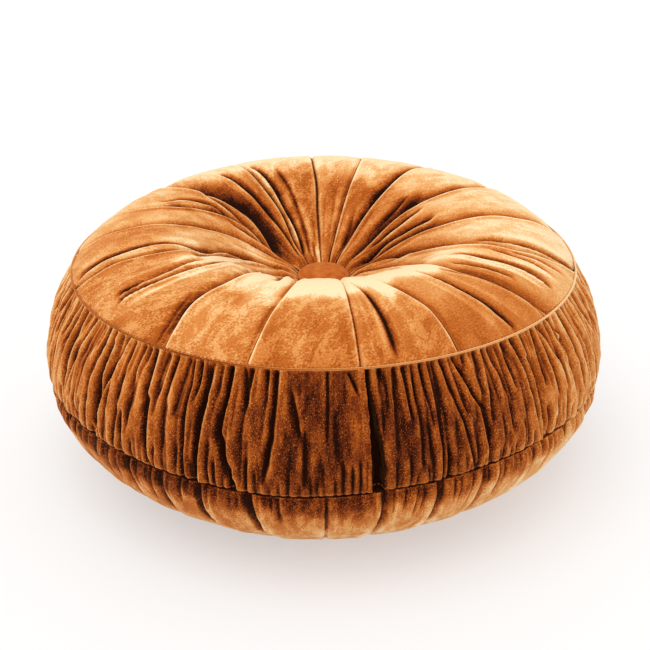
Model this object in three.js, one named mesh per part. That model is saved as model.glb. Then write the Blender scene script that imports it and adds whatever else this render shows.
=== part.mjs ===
// A round velvet pouf: one filled cover, a thin welt sewn into its rim seam, and a covered
// button that draws the gored top down into a well. The side band is gathered.
// Millimetres, +Z up. The origin is the middle of the flat underside, and -Y is the front.
// Azimuths are degrees from +X, anticlockwise seen from above, so 270 is the front.

import * as THREE from "three";

// Driving sizes
const WIDEST_RADIUS = 300;
const CROWN = { radius: 176, height: 268.5 };
const RIM_SEAM = { radius: 266.5, height: 227.5 };
const LOWER_SEAM = { radius: 297, height: 117 };
const FOOT_RADIUS = 194;
const WELL = { radius: 29.3, height: 199, floorRadius: 25.8, floorHeight: 195.7 };
const BUTTON = { radius: 27.8, underside: 196.1, edgeHeight: 200.5, domeHeight: 209.5 };
const WELT = { radius: 1.6, standsProud: 0.5, seatHalfWidth: 2.5, seatDepth: 2.3 };
const RIM_SLOPE = THREE.MathUtils.degToRad(52); // how steeply the cover falls at the rim seam

// How deep the sewing draws the cover in
const SEAM_SINK_AT_RIM = 1.5;
const PILLOW_DEPTH = 2.6;
const FOLD_DEPTH = 5.5;
const GATHER_DEPTH = 4.2;
const GATHER_PITCH = 2.5;
const LOWER_SEAM_SINK = 5;
const BASE_PILLOW_DEPTH = 2.5;

// Finish of the three pieces
const VELVET_COLOUR = 0xb8692c;
const WELT_COLOUR = 0x8e4718;
const BUTTON_COLOUR = 0xc2621f;

// Turns lists of numbers into rows with named columns
function rows(columns, ...lists) {
  return lists.map((list) => Object.fromEntries(columns.map((name, i) => [name, list[i]])));
}

// The section of the cover, from the button out over the crown, down the band and under
const TOP_LINE = rows(
  ["radius", "height"],
  [WELL.radius, WELL.height],
  [38.5, 208],
  [62, 217],
  [97, 236],
  [137, 257.5],
  [CROWN.radius, CROWN.height],
  [222, 260],
  [251, 242.5],
  [RIM_SEAM.radius, RIM_SEAM.height],
);
const BAND_LINE = rows(
  ["radius", "height"],
  [RIM_SEAM.radius, RIM_SEAM.height],
  [289, 188],
  [298.5, 152],
  [WIDEST_RADIUS, 134],
  [LOWER_SEAM.radius, LOWER_SEAM.height],
);
const BASE_LINE = rows(
  ["radius", "height"],
  [LOWER_SEAM.radius, LOWER_SEAM.height],
  [297, 97],
  [276.5, 60],
  [239, 26],
  [216, 9],
  [FOOT_RADIUS, 0],
);

// The sixteen gores of the top. Each row is one seam and the gore that follows it: where the
// seam lies at the rim and at the well, as it is pulled round a little, how far it sinks, how
// many folds the gore has, and how far out they run (0 to 1).
const TOP_GORES = rows(
  ["seam", "well", "sink", "folds", "reach"],
  [7, 16, 5, 3, 0.5],
  [35, 40, 7, 3, 0.5],
  [56.5, 57, 3, 3, 0.55],
  [77.5, 75.5, 3, 2, 0.45],
  [93.5, 93, 4, 3, 0.5],
  [116, 110, 3.5, 4, 0.6],
  [144, 136, 9, 3, 0.65],
  [163, 148, 5, 3, 0.6],
  [180, 161, 6, 3, 0.6],
  [202, 187, 8, 4, 0.75],
  [236.5, 217, 5, 3, 0.6],
  [256.4, 248, 5, 2, 0.35],
  [277.8, 283, 5, 3, 0.8],
  [297, 304, 4, 3, 0.65],
  [320.5, 331, 6, 4, 0.8],
  [344, 356, 8, 3, 0.7],
);
const PULL_ROUND = { start: 0.12, end: 0.55 }; // shares of the top's line where seams bend

// The creases of the band that stand out in front, each leaning from top to bottom.
// The joins of the band's strips are at 199.5, 276.3 and 347.
const FRONT_CREASES = rows(
  ["top", "bottom", "sink"],
  [199.5, 198, 7],
  [205, 204, 5],
  [211.5, 210.5, 8],
  [217.5, 216.5, 5],
  [228, 224, 9],
  [237.5, 237, 7],
  [249.3, 248, 8],
  [254, 255.2, 6],
  [262.3, 261.3, 5],
  [270, 269.5, 4.5],
  [276.3, 279.3, 11],
  [283.5, 284, 5],
  [290.5, 292, 5],
  [295.8, 301, 9],
  [303.5, 306, 5],
  [310.2, 314.2, 10],
  [317, 319, 5],
  [322.5, 325.4, 9],
  [331, 332.5, 6],
  [338.5, 339, 6],
  [347, 346, 8],
);
const BACK_CREASE_COUNT = 22;
const BACK_CREASE_LEAN = 3;

// The seams and creases of the underside that show below the lower seam in front
const FRONT_BASE_CREASES = rows(
  ["azimuth", "sink"],
  [200, 5],
  [211, 5],
  [222, 4],
  [232, 5],
  [240, 4],
  [248.3, 5.5],
  [258.6, 6.5],
  [270, 2],
  [279.4, 6.5],
  [290.3, 6],
  [299.8, 4],
  [311.7, 7],
  [322, 5],
  [333, 5],
  [344, 5],
);
const BACK_BASE_CREASE_COUNT = 20;
const BASE_COLUMNS_PER_CREASE = 4;

// The filling stands higher under some of the crown, and the hand-sewn lower seam isn't
// level: each row lifts one stretch
const CROWN_LIFTS = rows(
  ["azimuth", "halfWidth", "lift"],
  [92, 38, 4],
  [215, 25, 1],
);
const LOWER_SEAM_LIFTS = rows(
  ["azimuth", "halfWidth", "lift"],
  [263, 15, -4],
  [313, 18, 3],
  [222, 10, 2],
  [95, 30, -3],
  [20, 20, 2],
);

// Slow swellings round the pouf, from uneven filling
const SWELLS = rows(["lobes", "size", "phase"], [3, 0.9, 1], [5, 0.7, 2.4]);

// How finely the round pieces are divided
const BUTTON_STEPS = 48;
const WELT_STEPS = 120;
const WELT_SIDES = 8;

// Where the rings of points lie along each line, as shares of its length
const TOP_RINGS = [0, 0.04, 0.1, 0.18, 0.28, 0.4, 0.53, 0.67, 0.81, 0.94];
const BAND_RINGS = [0.07, 0.2, 0.38, 0.57, 0.75, 0.9, 0.965];
const BASE_GATHER_RINGS = rows(["share", "depth"], [0.045, 0.5], [0.12, 0.3]);
const BASE_RINGS = [0.24, 0.42, 0.6, 0.76, 0.9, 1];

// Repeatable dice, so that the uneven gathers come out the same each time
function dice(seed) {
  let state = seed;
  return (low, high) => {
    state = (state * 1664525 + 1013904223) % 4294967296;
    return low + ((high - low) * state) / 4294967296;
  };
}

function mix(a, b, share) {
  return a + (b - a) * share;
}

function ease(x, start, end) {
  return THREE.MathUtils.smoothstep(x, start, end);
}

function turnBetween(from, to) {
  return ((((to - from) % 360) + 540) % 360) - 180;
}

function wrappedStep(from, to) {
  return (((to - from) % 360) + 360) % 360;
}

function lineOf(table) {
  return new THREE.SplineCurve(table.map((row) => new THREE.Vector2(row.radius, row.height)));
}

function swell(azimuth) {
  const turn = THREE.MathUtils.degToRad(azimuth);
  return SWELLS.reduce((sum, row) => sum + row.size * Math.cos(row.lobes * turn + row.phase), 0);
}

function liftAt(lifts, azimuth) {
  let lift = 0;
  for (const row of lifts) {
    const away = turnBetween(row.azimuth, azimuth) / row.halfWidth;
    lift += row.lift * Math.exp(-away * away);
  }
  return lift;
}

// A point on the cover: along the section line, raised by lift, sunk by sink along its normal
function coverPoint(line, share, azimuth, sink, lift) {
  const turn = THREE.MathUtils.degToRad(azimuth);
  const at = line.getPointAt(share);
  const along = line.getTangentAt(share);
  const swollen = swell(azimuth) * ease(at.x, WELL.radius, CROWN.radius);
  const radius = at.x + along.y * sink + swollen;
  const height = at.y - along.x * sink + lift;
  return new THREE.Vector3(radius * Math.cos(turn), radius * Math.sin(turn), height);
}

// Columns of the top: each gore has its seam, then a crest and a valley for every fold
function topColumns() {
  const roll = dice(11);
  const columns = [];
  TOP_GORES.forEach((gore, i) => {
    const following = TOP_GORES[(i + 1) % TOP_GORES.length];
    const steps = 2 * gore.folds + 2;
    for (let k = 0; k < steps; k += 1) {
      const jitter = k === 0 ? 0 : roll(-0.22, 0.22);
      const phase = (k + jitter) / steps;
      columns.push({
        atRim: gore.seam + wrappedStep(gore.seam, following.seam) * phase,
        atWell: gore.well + wrappedStep(gore.well, following.well) * phase,
        phase,
        isSeam: k === 0,
        isValley: k % 2 === 0,
        sink: mix(gore.sink, following.sink, phase),
        depth: FOLD_DEPTH * roll(0.6, 1.15),
        reach: gore.reach * roll(0.75, 1.15),
      });
    }
  });
  return columns;
}

function topAzimuth(column, share) {
  return mix(column.atWell, column.atRim, ease(share, PULL_ROUND.start, PULL_ROUND.end));
}

function topSink(column, share) {
  const fromWell = ease(share, 0, 0.1);
  const pillow = Math.abs(2 * column.phase - 1) ** 2.5;
  const pillowFade = mix(1, 0.25, ease(share, 0.7, 1));
  let sink = PILLOW_DEPTH * pillow * pillowFade * fromWell;
  if (column.isSeam) {
    sink += mix(column.sink, SEAM_SINK_AT_RIM, ease(share, 0.45, 1)) * fromWell;
  } else if (column.isValley) {
    sink += column.depth * fromWell * (1 - ease(share, column.reach * 0.5, column.reach));
  }
  return sink;
}

// All creases of the band, round from the join at the left of the front
function bandCreases() {
  const roll = dice(29);
  const first = FRONT_CREASES[0];
  const last = FRONT_CREASES[FRONT_CREASES.length - 1];
  const gap = wrappedStep(last.top, first.top) / (BACK_CREASE_COUNT + 1);
  const creases = [...FRONT_CREASES];
  for (let k = 1; k <= BACK_CREASE_COUNT; k += 1) {
    const top = last.top + gap * (k + roll(-0.22, 0.22));
    const bottom = top + roll(-BACK_CREASE_LEAN, BACK_CREASE_LEAN);
    creases.push({ top, bottom, sink: roll(5, 10) });
  }
  return creases;
}

// Columns of the band: every crease, and between two creases as many gathers as fit
function bandColumns() {
  const roll = dice(47);
  const creases = bandCreases();
  const columns = [];
  creases.forEach((crease, i) => {
    const following = creases[(i + 1) % creases.length];
    const nextTop = crease.top + wrappedStep(crease.top, following.top);
    const nextBottom = nextTop + (following.bottom - following.top);
    const gathers = Math.max(1, Math.round((nextTop - crease.top) / GATHER_PITCH));
    const steps = 2 * gathers;
    for (let k = 0; k < steps; k += 1) {
      const phase = (k + (k === 0 ? 0 : roll(-0.2, 0.2))) / steps;
      const isValley = k % 2 === 0;
      const middle = k === 0 ? crease.sink : GATHER_DEPTH * roll(0.5, 1.5);
      columns.push({
        top: mix(crease.top, nextTop, phase),
        bottom: mix(crease.bottom, nextBottom, phase),
        bow: k === 0 ? 0 : roll(-0.25, 0.25),
        topDepth: isValley ? GATHER_DEPTH * roll(0.4, 0.75) : 0,
        middleDepth: isValley ? middle : roll(-0.3, 1.2),
        bottomDepth: isValley ? GATHER_DEPTH * roll(0.4, 0.8) : 0,
      });
    }
  });
  return columns;
}

function bandAzimuth(column, share) {
  return mix(column.top, column.bottom, share) + column.bow * Math.sin(Math.PI * share);
}

function bandSink(column, share) {
  const middle = Math.sin(Math.PI * share) ** 0.7;
  const edge = mix(column.topDepth, column.bottomDepth, share);
  const drawnIn = ease(share, 0, 0.12) * (1 - ease(share, 0.92, 1));
  return mix(edge, column.middleDepth, middle) * mix(0.35, 1, drawnIn);
}

// All creases of the underside, round from the left of the front
function baseCreases() {
  const roll = dice(71);
  const first = FRONT_BASE_CREASES[0];
  const last = FRONT_BASE_CREASES[FRONT_BASE_CREASES.length - 1];
  const gap = wrappedStep(last.azimuth, first.azimuth) / (BACK_BASE_CREASE_COUNT + 1);
  const creases = [...FRONT_BASE_CREASES];
  for (let k = 1; k <= BACK_BASE_CREASE_COUNT; k += 1) {
    const azimuth = last.azimuth + gap * (k + roll(-0.15, 0.15));
    creases.push({ azimuth, sink: k % 2 === 0 ? roll(5, 7) : roll(3, 5) });
  }
  return creases;
}

// Columns of the underside: each crease, and the pillow between it and the next
function baseColumns() {
  const creases = baseCreases();
  const columns = [];
  creases.forEach((crease, i) => {
    const width = wrappedStep(crease.azimuth, creases[(i + 1) % creases.length].azimuth);
    for (let k = 0; k < BASE_COLUMNS_PER_CREASE; k += 1) {
      const phase = k / BASE_COLUMNS_PER_CREASE;
      columns.push({
        azimuth: crease.azimuth + width * phase,
        sink: k === 0 ? crease.sink : BASE_PILLOW_DEPTH * Math.abs(2 * phase - 1) ** 2.5,
      });
    }
  });
  return columns;
}

function baseSink(column, share) {
  return column.sink * mix(0.5, 1, ease(share, 0, 0.3)) * (1 - ease(share, 0.78, 1));
}

// A ring is a list of {azimuth, point}, one for each column
function topRing(line, columns, share) {
  const lifted = ease(share, 0.3, 0.6) * (1 - ease(share, 0.85, 1));
  return columns.map((column) => {
    const azimuth = topAzimuth(column, share);
    const lift = lifted * liftAt(CROWN_LIFTS, azimuth);
    const point = coverPoint(line, share, azimuth, topSink(column, share), lift);
    return { azimuth, point };
  });
}

function bandRing(line, columns, share) {
  return columns.map((column) => {
    const azimuth = bandAzimuth(column, share);
    const lift = share * liftAt(LOWER_SEAM_LIFTS, azimuth);
    return { azimuth, point: coverPoint(line, share, azimuth, bandSink(column, share), lift) };
  });
}

// A ring at or just under the lower seam, which still has the band's columns
function seamRing(line, columns, share, sinkOf) {
  return columns.map((column) => {
    const azimuth = column.bottom;
    const lift = (1 - share) * liftAt(LOWER_SEAM_LIFTS, azimuth);
    return { azimuth, point: coverPoint(line, share, azimuth, sinkOf(column), lift) };
  });
}

function baseRing(line, columns, share) {
  const lifted = Math.max(0, 1 - 2 * share);
  return columns.map((column) => {
    const lift = lifted * liftAt(LOWER_SEAM_LIFTS, column.azimuth);
    const point = coverPoint(line, share, column.azimuth, baseSink(column, share), lift);
    return { azimuth: column.azimuth, point };
  });
}

// A point beside the rim seam: across is along the cover towards the floor, out is its normal
function rimPoint(azimuth, across, out) {
  const turn = THREE.MathUtils.degToRad(azimuth);
  const sideways = across * Math.cos(RIM_SLOPE) + out * Math.sin(RIM_SLOPE);
  const upward = out * Math.cos(RIM_SLOPE) - across * Math.sin(RIM_SLOPE);
  const radius = RIM_SEAM.radius + swell(azimuth) + sideways;
  const height = RIM_SEAM.height + upward;
  return new THREE.Vector3(radius * Math.cos(turn), radius * Math.sin(turn), height);
}

function rimRing(azimuths, across, out) {
  return azimuths.map((azimuth) => ({ azimuth, point: rimPoint(azimuth, across, out) }));
}

function levelRing(azimuths, radius, height) {
  return azimuths.map((azimuth) => {
    const turn = THREE.MathUtils.degToRad(azimuth);
    const point = new THREE.Vector3(radius * Math.cos(turn), radius * Math.sin(turn), height);
    return { azimuth, point };
  });
}

// Gathers the rings' points and faces into one closed mesh
class Skin {
  constructor() {
    this.points = [];
    this.faces = [];
  }

  addPoint(point) {
    this.points.push(point.x, point.y, point.z);
    return this.points.length / 3 - 1;
  }

  addRing(ring) {
    return ring.map((entry) => ({ azimuth: entry.azimuth, index: this.addPoint(entry.point) }));
  }

  // Joins two rings with the same columns
  joinMatched(upper, lower) {
    upper.forEach((corner, i) => {
      const next = (i + 1) % upper.length;
      this.faces.push(corner.index, lower[i].index, lower[next].index);
      this.faces.push(corner.index, lower[next].index, upper[next].index);
    });
  }

  // Joins two rings whose columns differ, always stepping to the nearer next column
  joinStepped(upper, lower) {
    const start = upper[0].azimuth;
    const away = lower.map((corner) => Math.abs(turnBetween(start, corner.azimuth)));
    const first = away.indexOf(Math.min(...away));
    const lowerAt = (k) => lower[(first + k) % lower.length];
    const upperAt = (k) => upper[k % upper.length];
    let i = 0;
    let j = 0;
    let upperTurn = 0;
    let lowerTurn = turnBetween(start, lowerAt(0).azimuth);
    while (i < upper.length || j < lower.length) {
      const upperNext = upperTurn + wrappedStep(upperAt(i).azimuth, upperAt(i + 1).azimuth);
      const lowerNext = lowerTurn + wrappedStep(lowerAt(j).azimuth, lowerAt(j + 1).azimuth);
      if (j >= lower.length || (i < upper.length && upperNext < lowerNext)) {
        this.faces.push(upperAt(i).index, lowerAt(j).index, upperAt(i + 1).index);
        upperTurn = upperNext;
        i += 1;
      } else {
        this.faces.push(upperAt(i).index, lowerAt(j).index, lowerAt(j + 1).index);
        lowerTurn = lowerNext;
        j += 1;
      }
    }
  }

  closeAbove(ring, height) {
    const middle = this.addPoint(new THREE.Vector3(0, 0, height));
    ring.forEach((corner, i) => {
      this.faces.push(middle, corner.index, ring[(i + 1) % ring.length].index);
    });
  }

  closeBelow(ring, height) {
    const middle = this.addPoint(new THREE.Vector3(0, 0, height));
    ring.forEach((corner, i) => {
      this.faces.push(corner.index, middle, ring[(i + 1) % ring.length].index);
    });
  }

  geometry() {
    const shape = new THREE.BufferGeometry();
    shape.setAttribute("position", new THREE.Float32BufferAttribute(this.points, 3));
    shape.setIndex(this.faces);
    shape.computeVertexNormals();
    return shape;
  }
}

function evenAzimuths(count) {
  return Array.from({ length: count }, (_, i) => (i * 360) / count);
}

// The filled cover: well, gored top, seat of the welt, gathered band, lower seam, gored base
function coverGeometry() {
  const skin = new Skin();
  const top = lineOf(TOP_LINE);
  const band = lineOf(BAND_LINE);
  const base = lineOf(BASE_LINE);
  const topCols = topColumns();
  const bandCols = bandColumns();
  const baseCols = baseColumns();
  const bandTops = bandCols.map((column) => column.top);

  const floorAzimuths = evenAzimuths(BUTTON_STEPS);
  const floor = skin.addRing(levelRing(floorAzimuths, WELL.floorRadius, WELL.floorHeight));
  skin.closeAbove(floor, WELL.floorHeight);
  const topRings = TOP_RINGS.map((share) => skin.addRing(topRing(top, topCols, share)));
  skin.joinStepped(floor, topRings[0]);
  topRings.slice(1).forEach((ring, i) => skin.joinMatched(topRings[i], ring));

  const topAzimuths = topCols.map((column) => column.atRim);
  const seatTop = skin.addRing(rimRing(topAzimuths, -WELT.seatHalfWidth, 0));
  const seatBottom = skin.addRing(rimRing(bandTops, 0, -WELT.seatDepth));
  const seatEdge = skin.addRing(rimRing(bandTops, WELT.seatHalfWidth, 0));
  skin.joinMatched(topRings[topRings.length - 1], seatTop);
  skin.joinStepped(seatTop, seatBottom);
  skin.joinMatched(seatBottom, seatEdge);

  const bandRings = BAND_RINGS.map((share) => skin.addRing(bandRing(band, bandCols, share)));
  skin.joinMatched(seatEdge, bandRings[0]);
  bandRings.slice(1).forEach((ring, i) => skin.joinMatched(bandRings[i], ring));

  const sewn = skin.addRing(seamRing(base, bandCols, 0, () => LOWER_SEAM_SINK));
  const underSeam = BASE_GATHER_RINGS.map((row) => {
    const gathered = (column) => row.depth * column.bottomDepth;
    return skin.addRing(seamRing(base, bandCols, row.share, gathered));
  });
  skin.joinMatched(bandRings[bandRings.length - 1], sewn);
  skin.joinMatched(sewn, underSeam[0]);
  skin.joinMatched(underSeam[0], underSeam[1]);

  const baseRings = BASE_RINGS.map((share) => skin.addRing(baseRing(base, baseCols, share)));
  skin.joinStepped(underSeam[1], baseRings[0]);
  baseRings.slice(1).forEach((ring, i) => skin.joinMatched(baseRings[i], ring));
  skin.closeBelow(baseRings[baseRings.length - 1], 0);
  return skin.geometry();
}

// The welt: a thin covered cord bent round the rim seam, half sunk in its seat
function weltGeometry() {
  const skin = new Skin();
  const rings = [];
  for (let side = 0; side < WELT_SIDES; side += 1) {
    const turn = ((side + 0.5) * 2 * Math.PI) / WELT_SIDES;
    const across = -WELT.radius * Math.cos(turn);
    const out = WELT.standsProud + WELT.radius * Math.sin(turn);
    rings.push(skin.addRing(rimRing(evenAzimuths(WELT_STEPS), across, out)));
  }
  rings.forEach((ring, i) => skin.joinMatched(ring, rings[(i + 1) % WELT_SIDES]));
  return skin.geometry();
}

// The button: a domed disc in the same cloth, turned under at its edge
function buttonGeometry() {
  const outline = [
    [0, BUTTON.underside],
    [BUTTON.radius - 4, BUTTON.underside],
    [BUTTON.radius - 0.8, BUTTON.underside + 1.6],
    [BUTTON.radius, BUTTON.edgeHeight],
    [BUTTON.radius - 1.2, BUTTON.edgeHeight + 2.8],
    [BUTTON.radius - 3.6, BUTTON.edgeHeight + 5.4],
    [BUTTON.radius * 0.7, BUTTON.domeHeight - 1.6],
    [BUTTON.radius * 0.35, BUTTON.domeHeight - 0.3],
    [0, BUTTON.domeHeight],
  ].map(([radius, height]) => new THREE.Vector2(radius, height));
  const turned = new THREE.LatheGeometry(outline, BUTTON_STEPS);
  return turned.rotateX(Math.PI / 2);
}

function cloth(colour, roughness) {
  return new THREE.MeshStandardMaterial({ color: colour, roughness, metalness: 0 });
}

function piece(name, geometry, material) {
  const mesh = new THREE.Mesh(geometry, material);
  mesh.name = name;
  return mesh;
}

const cover = piece("filled_cover", coverGeometry(), cloth(VELVET_COLOUR, 0.85));
const welt = piece("rim_welt", weltGeometry(), cloth(WELT_COLOUR, 0.85));
const button = piece("centre_button", buttonGeometry(), cloth(BUTTON_COLOUR, 0.8));

// The swelling leaves the cover a little off centre, so the whole is moved back over the origin
const pouf = new THREE.Group();
pouf.name = "round_velvet_pouf";
pouf.add(cover, welt, button);
const middle = new THREE.Box3().setFromObject(pouf).getCenter(new THREE.Vector3());
pouf.position.set(-middle.x, -middle.y, 0);

export default pouf;
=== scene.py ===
# %% [markdown]
# # A round velvet pouf
# A pouf is a floor cushion. This one is sewn from crushed velvet: sixteen gores meet under a
# covered button, a gathered band goes round the side, and more panels close the underside.
# The cover could be one sphere pushed into shape with sculpt brushes, but then nothing in it
# would follow a seam. Here each panel is its own grid of points, cut and drawn in as a sewer
# does it, so a seam is where two pieces meet and a fold starts at a thread.
#
# The imported model gives the size and the place of each part, so it is loaded first.

# %% Load the frame
import math
import bpy
import numpy as np
from mathutils import Matrix, Vector


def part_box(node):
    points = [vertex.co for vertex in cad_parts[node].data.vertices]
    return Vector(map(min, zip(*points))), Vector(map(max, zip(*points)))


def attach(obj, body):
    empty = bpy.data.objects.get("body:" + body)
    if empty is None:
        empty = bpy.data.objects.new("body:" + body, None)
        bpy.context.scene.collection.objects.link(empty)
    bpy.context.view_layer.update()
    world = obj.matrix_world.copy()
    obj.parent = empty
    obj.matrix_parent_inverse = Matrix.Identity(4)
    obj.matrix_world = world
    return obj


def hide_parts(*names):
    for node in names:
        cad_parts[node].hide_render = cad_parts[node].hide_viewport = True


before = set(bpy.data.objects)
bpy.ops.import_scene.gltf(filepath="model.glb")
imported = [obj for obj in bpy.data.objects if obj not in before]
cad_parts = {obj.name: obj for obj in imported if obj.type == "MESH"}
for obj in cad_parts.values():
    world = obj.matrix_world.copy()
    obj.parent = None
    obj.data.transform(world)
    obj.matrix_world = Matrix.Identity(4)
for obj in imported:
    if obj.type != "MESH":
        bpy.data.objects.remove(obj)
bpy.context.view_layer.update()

# %% [markdown]
# ## Driving sizes
# Sewn goods are easiest to describe in millimetres, so every size below is in millimetres and
# is turned into metres only when a mesh is made. Azimuths are degrees from +X, anticlockwise
# seen from above, so 270 is the front. The pouf's axis is the middle of the button.

# %% Sizes, in millimetres
MM = 0.001
button_low, button_high = (np.array(corner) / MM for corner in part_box("centre_button"))
AXIS = (button_low + button_high)[:2] / 2
BUTTON_RADIUS = (button_high - button_low)[0] / 2
BUTTON_TOP = button_high[2]
WIDEST_RADIUS = 300.0
CROWN_RADIUS = 176.0
RIM_RADIUS, RIM_HEIGHT = 266.5, 227.5
LOWER_RADIUS, LOWER_HEIGHT = 297.0, 117.0
FOOT_RADIUS = 194.0
WELL_RADIUS, WELL_HEIGHT = 29.3, 199.0
print("axis at", AXIS.round(2), "button radius", round(BUTTON_RADIUS, 1))


# %% [markdown]
# ## The section of the cover
# Seen in section, the cloth climbs out of the well, goes over the crown, down the band and
# under. A few corner points with a smooth curve through them describe it, as a paper pattern
# is drawn with a bent ruler. A place on the cover is then a share of the way along one line
# and an azimuth, and the sewing pulls it in along the line's normal.

# %% Smooth lines and places on the cover
def ease(x, start, end):
    """Goes smoothly from 0 at start to 1 at end."""
    t = np.clip((x - start) / (end - start), 0, 1)
    return t * t * (3 - 2 * t)


def turn_from(start, end):
    """The signed turn in degrees from one azimuth to another, the short way round."""
    return (end - start + 180) % 360 - 180


def smooth_line(corners, steps=40):
    """Closely spaced points on a smooth curve through the corners."""
    corners = np.array(corners, float)
    padded = np.vstack([corners[:1], corners, corners[-1:]])
    t = np.linspace(0, 1, steps, endpoint=False)[:, None]
    runs = []
    for i in range(len(corners) - 1):
        before, start, end, after = padded[i:i + 4]
        leave = (end - before) / 2
        arrive = (after - start) / 2
        cubic = 2 * start - 2 * end + leave + arrive
        square = 3 * end - 3 * start - 2 * leave - arrive
        runs.append(cubic * t ** 3 + square * t ** 2 + leave * t + start)
    return np.vstack([*runs, corners[-1:]])


print("halfway from 0 to 1 the ease is at", float(ease(0.5, 0, 1)))

# %% [markdown]
# ## The filling
# Loose fibre never fills a cover evenly. Two slow waves round the pouf, under a millimetre
# each, take away the look of a turned part. A noise texture could do it too, but a wave
# closes up round the pouf by itself.

# %% Slow waves, and a line of the section
SWELLS = [  # lobes round the pouf, size in millimetres, phase
    (3, 0.9, 1.0),
    (5, 0.7, 2.4),
]


def swell(azimuth):
    """The slow unevenness of the filling."""
    turn = np.radians(azimuth)
    return sum(size * np.cos(lobes * turn + phase) for lobes, size, phase in SWELLS)


class Section:
    """One line of the section, by share of its length: radius, height and direction."""

    def __init__(self, corners):
        line = smooth_line(corners)
        steps = np.hypot(*np.diff(line, axis=0).T)
        self.length = steps.sum()
        self.shares = np.r_[0, np.cumsum(steps)] / self.length
        self.line = line
        self.slope = np.gradient(line, self.shares * self.length, axis=0)
        self.slope /= np.hypot(*self.slope.T)[:, None]

    def at(self, share, values):
        return np.interp(share, self.shares, values)

    def radius(self, share):
        return self.at(share, self.line[:, 0])

    def place(self, azimuth, share, sink, lift=0.0):
        """Points in millimetres, sunk along the normal and lifted straight up."""
        out = self.at(share, self.slope[:, 0])
        up = self.at(share, self.slope[:, 1])
        radius = self.radius(share)
        swollen = swell(azimuth) * ease(radius, WELL_RADIUS, CROWN_RADIUS)
        radius = radius + up * sink + swollen
        height = self.at(share, self.line[:, 1]) - out * sink + lift
        turn = np.radians(azimuth)
        return np.stack([radius * np.cos(turn), radius * np.sin(turn), height], -1)


TOP = Section([
    (WELL_RADIUS, WELL_HEIGHT), (38.5, 208), (62, 217), (97, 236), (137, 257.5),
    (CROWN_RADIUS, 268.5), (222, 260), (251, 242.5), (RIM_RADIUS, RIM_HEIGHT),
])
BAND = Section([
    (RIM_RADIUS, RIM_HEIGHT), (289, 188), (298.5, 152), (WIDEST_RADIUS, 134),
    (LOWER_RADIUS, LOWER_HEIGHT),
])
BASE = Section([
    (LOWER_RADIUS, LOWER_HEIGHT), (297, 97), (276.5, 60), (239, 26), (216, 9),
    (FOOT_RADIUS, 0),
])
print("lengths in mm:", [round(line.length) for line in (TOP, BAND, BASE)])


# %% [markdown]
# ## Creases
# Wherever a thread draws the cloth in, it makes a crease: a valley with soft shoulders. A
# crease is a short row of numbers, and one function turns any list of rows into a depth at
# each point. Large creases are listed one by one. Small gathers come from seeded dice, so they
# are uneven but the same each time.

# %% The shape across one crease
EDGE_RISE = (-1.2, 2.0)  # where the crisp edge of a fold starts and ends, across it
SLOPE_SHARPNESS = 1.4
CREST_PLACE, CREST_WIDTH = 2.7, 2.5  # the low ridge in front of the edge


def trough(distance, depth, half_width, sharpness):
    """A valley across the distance in millimetres. Sharpness 1 is a V, 2 a round dip."""
    return depth * np.exp(-np.abs(distance / half_width) ** sharpness)


def leaning(distance, depth, side, width, crest=0.15):
    """A valley with a crisp edge at 0 and a slope on the side that it falls to."""
    beyond = distance * side
    wall = ease(beyond, *EDGE_RISE)
    slope = np.exp(-(np.maximum(beyond - EDGE_RISE[1], 0) / width) ** SLOPE_SHARPNESS)
    ridge = np.exp(-((beyond + CREST_PLACE) / CREST_WIDTH) ** 2)
    return depth * (wall * slope - crest * ridge)


across_fold = np.linspace(-10, 30, 9)
print("a fold 10 mm deep, across:", leaning(across_fold, 10, 1, 12).round(1))


# %% Where a crease starts, ends and leans to
SEWN_EDGE = 0.01  # a crease that starts this close to an edge is held by its thread
LEAN_CHANGE = -0.09  # the cosine of the azimuth where gathers change side, just left of the front


def along(share, start, end, fade=0.12):
    """1 between two shares, fading out beyond them, but not past a sewn edge."""
    opening = closing = 1.0
    if start > SEWN_EDGE:
        opening = ease(share, start - fade / 2, start + fade / 2)
    if end < 1 - SEWN_EDGE:
        closing = 1 - ease(share, end - fade / 2, end + fade / 2)
    return opening * closing


def falls_to(azimuth):
    """The side that a gather leans to: 1 anticlockwise on the right, -1 clockwise on the left."""
    return 1 if math.cos(math.radians(azimuth)) > LEAN_CHANGE else -1


print("gathers at the left and right lean to", falls_to(180), falls_to(0))


# %% From rows of creases to depths
CREASE_SHARPNESS = 1.15
CREASE_REACH = 8  # half widths beyond which a crease isn't felt
GATHER_SLOPE = 1.3  # the width of a gather's slope, in half widths
GATHER_CREST = 0.1


def crease_depth(section, azimuth, share, creases, gathered=False):
    """Adds up creases: (azimuth, share) at one end, the same at the other, depth and width.

    A gathered crease leans over. Any other one has two equal sides.
    """
    radius = section.radius(share)
    total = np.zeros(np.broadcast(azimuth, share).shape)
    for start, from_share, end, to_share, depth, half_width in creases:
        run = (share - from_share) / (to_share - from_share)
        middle = start + turn_from(start, end) * run
        distance = np.radians(turn_from(middle, azimuth)) * radius
        columns = (np.abs(distance) < CREASE_REACH * half_width).any(0)
        if not columns.any():
            continue
        distance = distance[:, columns]
        if gathered:
            slope_width = GATHER_SLOPE * half_width
            shape = leaning(distance, depth, falls_to(start), slope_width, GATHER_CREST)
        else:
            shape = trough(distance, depth, half_width, CREASE_SHARPNESS)
        total[:, columns] += shape * along(share, from_share, to_share)
    return total


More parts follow.
